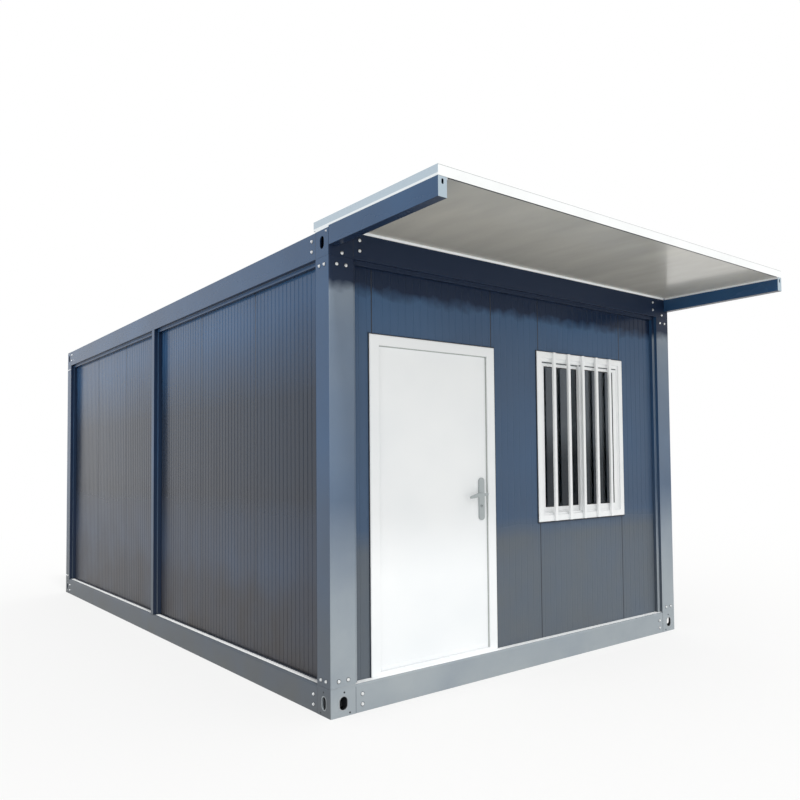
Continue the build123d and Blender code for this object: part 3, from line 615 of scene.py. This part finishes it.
# %% Finishes and edges by node
finishes = (
    (frame_paint, "base_ top_ post mid_post corner_splices canopy_arm"),
    (canopy_white, "canopy"),
    (wall_paint, "left_wall right_wall rear_wall front_wall"),
    (ceiling_white, "ceiling"),
    (roof_grey_and_shade_line, "roof_panels"),
    (galvanised_and_highlight, "roof_purlins floor_joists"),
    (vinyl, "floor_board"),
    (door_paint, "door_frame door_leaf"),
    (stainless, "door_hinges door_lock door_lever"),
    (glass, "window_panes"),
    (window_white, "window canopy_trim"),
)
edge_millimetres = (
    (2.0, "base_beam post mid_post base_corner top_corner"),
    (2.5, "top_beam canopy_arm"),
    (1.5, "door_frame door_leaf"),
    (1.2, "door_lock window_frame window_sash"),
    (3.0, "door_lever"),
)
weld_distance = 0.00002
sharp_from = math.radians(40)


def by_start(table, name):
    """What stands beside the longest start of a node's name in a table, or None."""
    starts = {start: entry for entry, words in table for start in words.split()}
    fitting = [start for start in starts if name.startswith(start)]
    return starts[max(fitting, key=len)] if fitting else None


def dress_nodes():
    """Give every node its finish, and a bevelled edge where its kind has one."""
    for name, made in nodes.items():
        made.data.materials.clear()
        made.data.materials.append(by_start(finishes, name))
        width = by_start(edge_millimetres, name)
        if width is None:
            continue
        weld = made.modifiers.new("weld", "WELD")
        weld.merge_threshold = weld_distance
        bevel = made.modifiers.new("edges", "BEVEL")
        bevel.width = width / 1000
        bevel.segments = 2
        bevel.limit_method = "ANGLE"
        bevel.angle_limit = sharp_from
        bevel.harden_normals = True


dress_nodes()
print("dressed", len(nodes), "nodes")

# %% [markdown]
# ## Bolts
# Each beam and post is pulled onto its corner block by bolts through the splice plates behind the
# outer face. They are plated, so they read as bright dots on the navy, each in a dark ring that
# paints its shadow. A bolt here is a stack of rings: a washer with a softened edge, and a hexagon head
# with a chamfered top. The blocks also have small drain holes, drawn as dark discs that paint the
# shade inside them, and a pale band of zinc round each base slot that paints the highlight of its
# cut edge. Linked copies could repeat the bolt, but all of them as one mesh
# make one piece, and every one still turns up in its right place.

# %% Rings, bolts and discs
washer_seat, washer_shoulder, washer_top = 0.0006, 0.0016, 0.0022
head_shoulder, head_top = 0.0060, 0.0070
washer_chamfer, head_chamfer = 0.0006, 0.0014


def circle(radius, segments=24):
    """A ring in the xy plane: radius times the cosine and sine of even steps of a full turn."""
    turn = np.arange(segments) * 2 * np.pi / segments
    return np.stack([radius * np.cos(turn), radius * np.sin(turn), np.zeros(segments)], -1)


def raised(ring, *heights, shrink=()):
    """Copies of a ring at several heights, the last ones drawn in by the amounts in shrink."""
    rings = np.repeat(ring[None], len(heights), axis=0)
    rings[:, :, 2] += np.array(heights)[:, None]
    middle = ring.mean(0)
    for row, amount in zip(range(len(heights) - len(shrink), len(heights)), shrink):
        reach = np.linalg.norm(ring[:, :2] - middle[:2], axis=1, keepdims=True)
        rings[row, :, :2] = middle[:2] + (ring[:, :2] - middle[:2]) * (1 - amount / reach)
    return rings


def bolt(washer_radius, head_radius):
    """Washer: rings of one radius, drawn in at the top. Head: the same on six sides."""
    levels = (washer_seat, washer_shoulder, washer_top)
    washer = stacked(raised(circle(washer_radius), *levels, shrink=(washer_chamfer,)))
    levels = (washer_top, head_shoulder, head_top)
    head = stacked(raised(circle(head_radius, 6), *levels, shrink=(head_chamfer,)))
    return joined(outward(washer), outward(head))


def disc(radius):
    """A flat disc: two rings, and a fan over each."""
    return outward(stacked(raised(circle(radius), 0.0, washer_seat)))


print("a bolt stands", 1000 * head_top, "mm out of the frame")


# %% Where the bolts, drains and slots are
beam_bolt = 0.190
beam_bolt_heights = (0.042, 0.097, 2.531, 2.590)
post_bolts = (0.048, 0.104)
post_bolt_heights = (0.190, 2.435)
plate_bolt = (0.080, 2.500)
small_bolt = (0.024, 2.613)
drain_holes = ((0.080, 0.127), (0.113, 0.014))
slot_place = (0.075, 0.070)
slot_width, slot_height = 0.046, 0.070


def mirrored(side, along, height):
    """The same place measured from both ends of a side."""
    return [place(side, along, height), place(side, sides[side][2] - along, height)]


def corner_bolts():
    """Places on all four sides: two through each beam end, two through each post end."""
    places = []
    for side in sides:
        for height in beam_bolt_heights:
            places += mirrored(side, beam_bolt, height)
        for across in post_bolts:
            for height in post_bolt_heights:
                places += mirrored(side, across, height)
    return places + mirrored("front", *plate_bolt)


def slot_edge_highlights(gap=0.0003, wide=0.004, thick=0.0004, steps=13):
    """A flat pale band round every base slot, a painted highlight of its cut edge: two half circles joined
    by straights.
    """
    turn = np.concatenate([np.linspace(0, np.pi, steps), np.linspace(np.pi, 2 * np.pi, steps)])
    straight = np.repeat([1, -1], steps) * (slot_height - slot_width) / 2
    reach = slot_width / 2 + gap + np.array([0.0, wide, wide, 0.0])
    out = np.array([0.0, 0.0, thick, thick])
    across = np.cos(turn)[:, None] * reach
    up = np.sin(turn)[:, None] * reach + straight[:, None]
    rings = np.stack([across, up, np.broadcast_to(out, across.shape)], -1)
    spots = [spot for side in sides for spot in mirrored(side, *slot_place)]
    return copies(outward(looped(rings)), spots)


small_bolts = mirrored("left", *small_bolt) + mirrored("right", *small_bolt)
drains = [spot for side in sides for hole in drain_holes for spot in mirrored(side, *hole)]
bolts = joined(copies(bolt(0.0090, 0.0072), corner_bolts()), copies(bolt(0.0055, 0.004), small_bolts))
piece("corner_bolts", bolts, "house", plated)
# Dark discs that paint the shadow round each bolt and the shade inside each drain hole.
bolt_and_drain_shade = joined(copies(disc(0.0115), corner_bolts()), copies(disc(0.005), drains))
piece("bolt_shadows_and_drain_shade", bolt_and_drain_shade, "house", black_rubber_and_shade)
piece("slot_edge_highlights", slot_edge_highlights(), "house", galvanised_and_highlight)

# %% [markdown]
# ## Strips and sealant along the frame
# A white drip strip lies on the ledge of each base beam; its white also paints the highlight along
# the ledge. On the front it is wide and runs up to the wall and under the door. On the other sides it
# is narrow, and a bead of dark sealant fills the corner behind it and paints the shade there. Where
# beam and block meet, the frame shows a fine dark joint. All are thin boxes with softened edges, drawn
# in a side's own measure, so that one function serves all four sides.

# %% Softened boxes on a side
def rounded_box(width, height, radius, steps=4):
    """A ring in the xy plane: a quarter circle of the corner radius about each inset corner."""
    quarter = np.linspace(0, np.pi / 2, steps)
    turn = (np.arange(4)[:, None] * np.pi / 2 + quarter).ravel()
    corner = np.repeat(np.array([[1, 1], [-1, 1], [-1, -1], [1, -1]]), steps, axis=0)
    middle = corner * (np.array([width, height]) / 2 - radius)
    ring = middle + radius * np.stack([np.cos(turn), np.sin(turn)], -1)
    return np.c_[ring, np.zeros(len(ring))]


def softened_box(low, high, edge=0.0005):
    """A box between two corners: full rings in the middle, smaller ones at its foot and head."""
    low, high = np.minimum(low, high), np.maximum(low, high)
    width, height, depth = high - low
    edge = min(edge, 0.25 * min(width, height, depth))
    full = rounded_box(width, height, edge, 2)
    small = rounded_box(width - edge, height - edge, edge / 2, 2)
    rings = np.stack([small, full, full, small])
    rings += np.array([(low[0] + high[0]) / 2, (low[1] + high[1]) / 2, low[2]])
    rings[:, :, 2] += np.array([0, edge, depth - edge, depth])[:, None]
    return outward(stacked(rings))


def on_side(side, starts, ends, depths, levels):
    """Boxes on a side, one for each start and end, between two depths and two heights."""
    near, far = depths
    foot, head = levels
    boxes = [softened_box((start, foot, -far), (end, head, -near)) for start, end in zip(starts, ends)]
    return copies(joined(*boxes), [place(side, 0, 0)])


print("a softened box has", len(softened_box((0, 0, 0), (1, 1, 1))[0]), "points")


# %% Drip strips and foot sealant
beam_end, lip_end = 0.150, 0.175
clearance = 0.001
ledge = base_height + 0.0002
strip_levels, sealant_levels = (ledge, ledge + 0.0008), (ledge, ledge + 0.006)
front_strip = (0.008, 0.0265, 0.0545)
side_strip, side_sealant_and_shade = (0.013, 0.042), (0.042, 0.0548)
door_low, door_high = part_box("door_frame")


def on_ledges(depths, levels):
    """One box on the rear ledge, and two on each long side, which stop at the post in the middle."""
    post_low, post_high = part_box("mid_post_left")
    run, half = sides["rear"][2], sides["left"][2] / 2
    clear = (post_high.y - post_low.y) / 2 + clearance
    made = [on_side("rear", (lip_end,), (run - lip_end,), depths, levels)]
    for side in ("left", "right"):
        starts, ends = (lip_end, half + clear), (half - clear, 2 * half - lip_end)
        made.append(on_side(side, starts, ends, depths, levels))
    return made


def drip_strips_and_highlights():
    """White strips that paint the ledge's highlight. Front: an outer band end to end and an inner one that
    stops for the door. Sides: one band.
    """
    run = sides["front"][2]
    outer, middle, inner = front_strip
    end = beam_end + clearance
    door_start, door_end = door_low.x - left - clearance / 2, door_high.x - left + clearance / 2
    face = door_low.y - front - clearance / 2
    beside_door = (lip_end, door_end), (door_start, run - lip_end)
    made = [
        on_side("front", (end,), (run - end,), (outer, middle), strip_levels),
        on_side("front", (lip_end,), (run - lip_end,), (middle, face), strip_levels),
        on_side("front", *beside_door, (face, inner), strip_levels),
    ]
    return joined(*made, *on_ledges(side_strip, strip_levels))


# Dark sealant in the corner at the wall's foot, which also paints the shade there.
foot_sealant_and_shade = joined(*on_ledges(side_sealant_and_shade, sealant_levels))
piece("drip_strips_and_highlights", drip_strips_and_highlights(), "house", highlight_white)
piece("foot_sealant_and_shade", foot_sealant_and_shade, "house", dark_sealant_and_shade)

# %% Joints between the members, and between the panels
bead_half, bead_out = 0.0035, 0.0004


def frame_joints():
    """A dark line two millimetres wide where each beam meets its block, at the foot and the head."""
    made = []
    for side, (_, _, run) in sides.items():
        starts = (beam_end - clearance, run - beam_end - clearance)
        ends = (beam_end + clearance, run - beam_end + clearance)
        for levels in ((0.002, 0.143), (head_level + 0.002, roof_height - 0.003)):
            made.append(on_side(side, starts, ends, (-0.0002, 0.0005), levels))
    return joined(*made)


def block_edge_highlights():
    """A pale line on the front along each base block's top edge, below its post: a painted highlight."""
    run = sides["front"][2]
    edge, end = 0.004, beam_end - clearance
    return on_side("front", (edge, run - end), (end, run - edge), (-0.0003, 0.0003), (0.1542, 0.1560))


def upright_bead(x, y, foot, head, faces_x=False):
    """A bead of sealant in a wall's joint: seven millimetres wide, and thin the way the wall faces."""
    half_x, half_y = (bead_out, bead_half) if faces_x else (bead_half, bead_out)
    return softened_box((x - half_x, y - half_y, foot), (x + half_x, y + half_y, head))


def panel_joints():
    """Upright beads on the long sides and the rear: three panels stand in each bay."""
    levels = (sealant_levels[1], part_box("top_beam_left")[0].z - clearance)
    made = []
    for share in (1 / 3, 2 / 3):
        for wall in ("left_wall_front", "left_wall_rear", "right_wall_front", "right_wall_rear"):
            low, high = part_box(wall + "_bay")
            face = low.x if low.x < 0 else high.x
            made.append(upright_bead(face, low.y + share * (high.y - low.y), *levels, True))
        low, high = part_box("rear_wall")
        made.append(upright_bead(low.x + share * (high.x - low.x), high.y, *levels))
    return joined(*made)


piece("frame_joints", frame_joints(), "house", dark_sealant_and_shade)
piece("block_edge_highlights", block_edge_highlights(), "house", galvanised_and_highlight)
piece("panel_joints", panel_joints(), "house", dark_sealant_and_shade)

# %% [markdown]
# ## Sealant round the door and the window
# Both frames lap the wall and are sealed to it with a dark bead in the corner, whose darkness also
# paints the frame's shadow on the wall. A bead is a quarter circle carried round the frame: up, over
# and down at the door, and all the way round the window. A bevelled curve could draw it, but a profile
# that steps out along the mitres keeps corners sharp.

# %% Profiles round corners
def mitred(corners, profile, face_y):
    """A profile carried round corners on the front: its points step outwards along each mitre.

    A corner is (x, z, outward x, outward z), and a profile point is (outwards, towards the front).
    Four corners that all lean both ways close into a frame, and any others are capped at the ends.
    """
    corners, profile = np.array(corners, float), np.array(profile, float)
    rings = np.empty((len(corners), len(profile), 3))
    rings[..., 0] = corners[:, None, 0] + corners[:, None, 2] * profile[:, 0]
    rings[..., 1] = face_y - profile[:, 1]
    rings[..., 2] = corners[:, None, 1] + corners[:, None, 3] * profile[:, 0]
    closed = np.abs(corners[:, 2:]).min() > 0
    return outward(looped(rings) if closed else stacked(rings))


def around(low_x, low_z, high_x, high_z):
    """The four corners of a rectangle, each leaning outwards both ways."""
    return ((low_x, low_z, -1, -1), (high_x, low_z, 1, -1), (high_x, high_z, 1, 1), (low_x, high_z, -1, 1))


def over(low_x, low_z, high_x, high_z):
    """Up one side of a rectangle, over its head and down the other side."""
    return ((low_x, low_z, -1, 0), (low_x, high_z, -1, 1), (high_x, high_z, 1, 1), (high_x, low_z, 1, 0))


print("a rectangle has", len(around(0, 0, 1, 1)), "mitred corners")


# %% Beads on the front wall
window_low, window_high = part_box("window_frame")
wall_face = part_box("front_wall_left")[0].y
bead_radius = 0.006
shadow_height = 0.009


def wall_beads_and_shadows():
    """The quarter circles round door and window, which also paint the frames' shadow, and a painted shadow
    strip under the window's sill.
    """
    turn = np.linspace(0, np.pi / 2, 5)
    profile = np.vstack([[[0, 0]], bead_radius * np.stack([np.cos(turn), np.sin(turn)], -1)])
    door_way = over(door_low.x, door_low.z + clearance, door_high.x, door_high.z)
    window_way = around(window_low.x, window_low.z, window_high.x, window_high.z)
    shadow = softened_box(
        (window_low.x, wall_face - 0.0085, window_low.z - shadow_height),
        (window_high.x, wall_face - 0.0001, window_low.z - 0.0002),
    )
    return joined(mitred(door_way, profile, wall_face), mitred(window_way, profile, wall_face), shadow)


def front_joints():
    """Beads in the front's panel joints: over the door's edges, and over and under the window's."""
    door_edges = (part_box("front_wall_left")[1].x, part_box("front_wall_middle")[0].x)
    window_edges = (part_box("front_wall_middle")[1].x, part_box("front_wall_right")[0].x)
    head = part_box("top_beam_front")[0].z - clearance
    above_bead = bead_radius + clearance
    runs = [(x, door_high.z + above_bead, head) for x in door_edges]
    runs += [(x, window_high.z + above_bead, head) for x in window_edges]
    runs += [(x, ledge + clearance, window_low.z - shadow_height - clearance) for x in window_edges]
    return joined(*[upright_bead(x, wall_face, *levels) for x, *levels in runs])


piece("wall_beads_and_shadows", wall_beads_and_shadows(), "house", dark_sealant_and_shade)
piece("front_joints", front_joints(), "house", dark_sealant_and_shade)

# %% [markdown]
# ## Door seals and lock
# The leaf closes from inside against the frame's stop. A grey seal sits between them; its grey paints
# the shade in the gap, a soft line at the head and the far side. A white bar on the leaf keeps rain off
# the sill. The cylinder has its keyhole, and the lever a short tail behind its neck. The keyhole could be
# cut, but a dark plate a fifth of a millimetre proud, painting the hole's shade, looks the same, and leaves
# the solid whole. The keyhole could be cut, but a dark plate a fifth of a millimetre proud looks the same,
# and leaves the checked solid whole.

# %% Door seal and weather bar
leaf_low, leaf_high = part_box("door_leaf")
stop_overlap = 0.008
hole_low_x, hole_high_x = leaf_low.x + stop_overlap, leaf_high.x - stop_overlap
hole_head, sill = leaf_high.z - stop_overlap, leaf_low.z - 0.006
bar_inset, bar_head = 0.008, 0.024


def leaf_seal_and_shade():
    """A flat band on the stop's room side that shows five millimetres inside the opening and paints the
    shade in the gap.
    """
    band = ((-0.005, 0.0003), (0.004, 0.0003), (0.004, 0.0045), (-0.004, 0.0045), (-0.005, 0.0035))
    return mitred(over(hole_low_x, sill + clearance, hole_high_x, hole_head), band, leaf_low.y)


def weather_bar():
    """A softened box on the leaf's outer face, just above the sill."""
    low = (hole_low_x + bar_inset, leaf_low.y - 0.004, sill + 0.0008)
    return softened_box(low, (hole_high_x - bar_inset, leaf_low.y - 0.0001, sill + bar_head), 0.0015)


piece("leaf_seal_and_shade", leaf_seal_and_shade(), "house", grey_rubber_and_shade)
piece("weather_bar", weather_bar(), "door", door_paint)

# %% Keyholes and the lever's tail
plate_low, plate_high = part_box("door_lock_plates")
lock_x, _, lock_z = (plate_low + plate_high) / 2
lever_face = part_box("door_lever")[0].y
lever_z = lock_z + 0.028
cylinder_z = lock_z - 0.045


def keyhole_shades(thick=0.0004):
    """A round hole over a slot, as thin dark plates on both ends of the cylinder that paint the keyhole's
    shade.
    """
    made = []
    for face in (plate_low.y - thick / 2, plate_high.y - thick / 2):
        for half, foot, head, edge in ((0.0011, -0.0055, 0.003, 0.0005), (0.0024, 0.001, 0.0055, 0.0001)):
            low = (lock_x - half, face, cylinder_z + foot)
            made.append(softened_box(low, (lock_x + half, face + thick, cylinder_z + head), edge))
    return joined(*made)


def lever_tail(radius=0.0065, offset=0.006):
    """A short round tail on the outer lever, behind its neck: a stack of circles that closes in."""
    tail = raised(circle(radius, 20), 0.0, 0.012, 0.0145, 0.016, shrink=(0.0015, 0.004))
    start = Matrix.Translation((lock_x + offset, lever_face + offset, lever_z))
    along_x = start @ Matrix.Rotation(math.radians(90), 4, "Y")
    return copies(outward(stacked(tail)), [np.array(along_x)])


piece("keyhole_shades", keyhole_shades(), "door", black_rubber_and_shade)
piece("lever_tail", lever_tail(), "lever", stainless, 60)

# %% [markdown]
# ## Gaskets and cover of the window
# Black gaskets hold each pane in its sash. The frame's head has a white cover over the track, and a
# dark band under it paints the shade in the gap between cover and sash. The right sash runs on the
# outer track, the left one on the inner track. Sizes come from the sashes' own boxes, so that each band
# sits on its own track.

# %% Window gaskets, cover and gap
sashes = [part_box(name) for name in ("window_sash_left", "window_sash_right")]
sash_rail = 0.038
cover_lap, cover_foot = 0.0145, 0.009


def pane_gaskets():
    """A five-millimetre band inside each sash's rails, on the pane's outer side."""
    band = ((-0.005, -0.0062), (0.0, -0.0062), (0.0, -0.003), (-0.004, -0.003))
    made = []
    for low, high in sashes:
        edges = around(low.x + sash_rail, low.z + sash_rail, high.x - sash_rail, high.z - sash_rail)
        made.append(mitred(edges, band, low.y))
    return joined(*made)


def head_cover():
    """A thin white plate from the frame's inner edge down over the head of both sashes."""
    start, (_, end) = sashes[0][0], sashes[1]
    low = (start.x - cover_lap, wall_face - 0.0006, end.z - cover_foot)
    return softened_box(low, (end.x + cover_lap, wall_face + 0.0012, end.z + cover_lap))


def head_gap_shades(inset=0.002, high_part=0.008):
    """A dark band on each sash just under the cover, painting the shade in the rollers' gap."""
    made = []
    for low, high in sashes:
        gap_low = (low.x + inset, low.y - 0.0003, high.z - cover_foot - high_part)
        made.append(softened_box(gap_low, (high.x - inset, low.y + 0.0004, high.z - cover_foot)))
    return joined(*made)


piece("pane_gaskets", pane_gaskets(), "house", black_rubber_and_shade)
piece("head_cover", head_cover(), "house", window_white)
piece("head_gap_shades", head_gap_shades(), "house", track_shade)

# %% [markdown]
# ## Window bars
# Five square tubes stand in front of the window, screwed to the head and the sill of its frame. A
# tube is a ring with rounded corners carried straight up, with its ends capped. Boxes with a bevel
# would look alike from afar, but here the corner radius is the tube's own.

# %% Window bars
bar_width, bar_depth, bar_corner = 0.023, 0.020, 0.002
bar_step, bar_offset = 0.145, -0.003
bar_foot, bar_chamfer = 0.002, 0.001


def window_bars(count=5):
    """Rings of a rounded rectangle at the foot and head of each bar, an even step apart."""
    height = window_high.z - window_low.z - 2 * bar_foot
    levels = (0, bar_chamfer, height - bar_chamfer, height)
    tube = stacked(raised(rounded_box(bar_width, bar_depth, bar_corner), *levels, shrink=(bar_chamfer,)))
    middle = (window_low.x + window_high.x) / 2 + bar_offset
    spots = middle + bar_step * (np.arange(count) - (count - 1) / 2)
    y, z = window_low.y - bar_depth / 2, window_low.z + bar_foot
    return copies(outward(tube), [np.array(Matrix.Translation((x, y, z))) for x in spots])


piece("window_bars", window_bars(), "house", window_white)

# %% [markdown]
# ## Canopy edge and roof screws
# Under the canopy's front edge the cap and the ceiling sheet don't quite meet, and a dark strip
# paints the shadow in that gap; above it a pale grey strip paints the shade line where the cap folds
# over the top. Both could be grooves, but lines this fine are surer as strips of their own. On the
# roof every rib is screwed down to the purlins, five screws to a rib.

# %% Canopy gap, canopy fold and roof screws
cap_low, cap_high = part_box("canopy_edge_cap")
fold_top = cap_low.z + 0.0515 - clearance
rib_count, screw_columns = 18, 5
screw_inset, screw_sink = 0.1, 0.0006


def canopy_gap_shadow(clear=0.002):
    """A thin dark strip under the cap, from arm to arm: a painted shadow of the gap."""
    start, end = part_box("canopy_arm_left")[1].x + clear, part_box("canopy_arm_right")[0].x - clear
    low = (start, cap_low.y + 0.0015, cap_low.z - 0.0012)
    return softened_box(low, (end, cap_low.y + 0.009, cap_low.z + 0.0004))


def canopy_fold_shade_line(high_part=0.0025):
    """A pale grey line where the front cap folds over the canopy's top, painting the fold's shade line: a
    strip 2.5 mm high.
    """
    low = (cap_low.x + clearance, cap_low.y - 0.0004, fold_top - high_part)
    return softened_box(low, (cap_high.x - clearance, cap_low.y + 0.0004, fold_top))


def roof_screws():
    """A grid of places: one row for each rib, evenly spaced, and one column for each screw line."""
    low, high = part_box("roof_panels")
    rows = low.y + (np.arange(rib_count) + 0.5) * (high.y - low.y) / rib_count
    columns = np.linspace(low.x + screw_inset, high.x - screw_inset, screw_columns)
    spots = [(x, y, high.z - screw_sink) for y in rows for x in columns]
    return copies(bolt(0.008, 0.005), [np.array(Matrix.Translation(spot)) for spot in spots])


piece("canopy_gap_shadow", canopy_gap_shadow(), "house", dark_sealant_and_shade)
piece("canopy_fold_shade_line", canopy_fold_shade_line(), "house", roof_grey_and_shade_line)
piece("roof_screws", roof_screws(), "house", plated)

# %% [markdown]
# ## Floor and light
# A plain pale floor, a soft white sky, and one large soft lamp from the front, as high as puts the
# lower edge of the canopy's shade at the foot of the window. To the eye and in reflections the floor
# is lifted towards white, and its own share keeps the house's shadow. Stronger lamps would whiten
# it too, but they would bleach the whites of door and canopy first.

# %% Stage
floor_radius, floor_points = 60.0, 64
lift_from, lift_to, lift_near = 3.5, 12.0, 0.72
sky_as_lamp = 0.93
key_strength, key_spread = 1.05, 6
key_direction = Vector((0.12, 1.0, -1.65))


def seen_rays(tree):
    """One for what the eye sees, straight, in a reflection or through glass, and nought for light."""
    seen = add(tree, "LightPath", {}, "Is Camera Ray")
    for kind in ("Is Glossy Ray", "Is Transmission Ray"):
        seen = add(tree, "Math", {0: seen, 1: add(tree, "LightPath", {}, kind)}, operation="MAXIMUM")
    return seen


def pale_floor():
    """A disc of pale floor that fades to the background's white far from the house."""
    made, tree, spot = material("stage_floor", IOR=1.45, Roughness=0.9, Base_Color="#e9e9e7")
    away = add(tree, "VectorMath", {0: spot}, "Value", operation="LENGTH")
    lifted = add(tree, "MapRange", {0: away, 1: lift_from, 2: lift_to, 3: lift_near, 4: 1.0})
    share = add(tree, "Math", {0: lifted, 1: seen_rays(tree)}, operation="MULTIPLY")
    glow = add(tree, "Emission", {"Color": "#ffffff", "Strength": 1.0})
    plain = tree.nodes["Principled BSDF"].outputs[0]
    surface = add(tree, "MixShader", {0: share, 1: plain, 2: glow})
    tree.links.new(surface, tree.nodes["Material Output"].inputs["Surface"])
    mesh = bpy.data.meshes.new("floor")
    mesh.from_pydata(circle(floor_radius, floor_points).tolist(), [], [list(range(floor_points))])
    mesh.materials.append(made)
    floor = bpy.data.objects.new("floor", mesh)
    bpy.context.scene.collection.objects.link(floor)


def soft_light():
    """A white sky for the eye and its reflections, a little dimmer as a lamp, and a soft sun."""
    world = bpy.data.worlds.new("studio")
    world.use_nodes = True
    bpy.context.scene.world = world
    background = world.node_tree.nodes["Background"]
    strength = add(world.node_tree, "MapRange", {0: seen_rays(world.node_tree), 3: sky_as_lamp, 4: 1.0})
    world.node_tree.links.new(strength, background.inputs["Strength"])
    fill(background.inputs["Color"], "#ffffff")
    sun = bpy.data.lights.new("key", "SUN")
    sun.energy = key_strength
    sun.angle = math.radians(key_spread)
    key = bpy.data.objects.new("key", sun)
    key.rotation_euler = key_direction.to_track_quat("-Z", "Y").to_euler()
    bpy.context.scene.collection.objects.link(key)


pale_floor()
soft_light()
bpy.context.scene.view_settings.view_transform = "Standard"
print("floor", 2 * floor_radius, "m across, lamp", key_strength, "and", key_spread, "degrees wide")
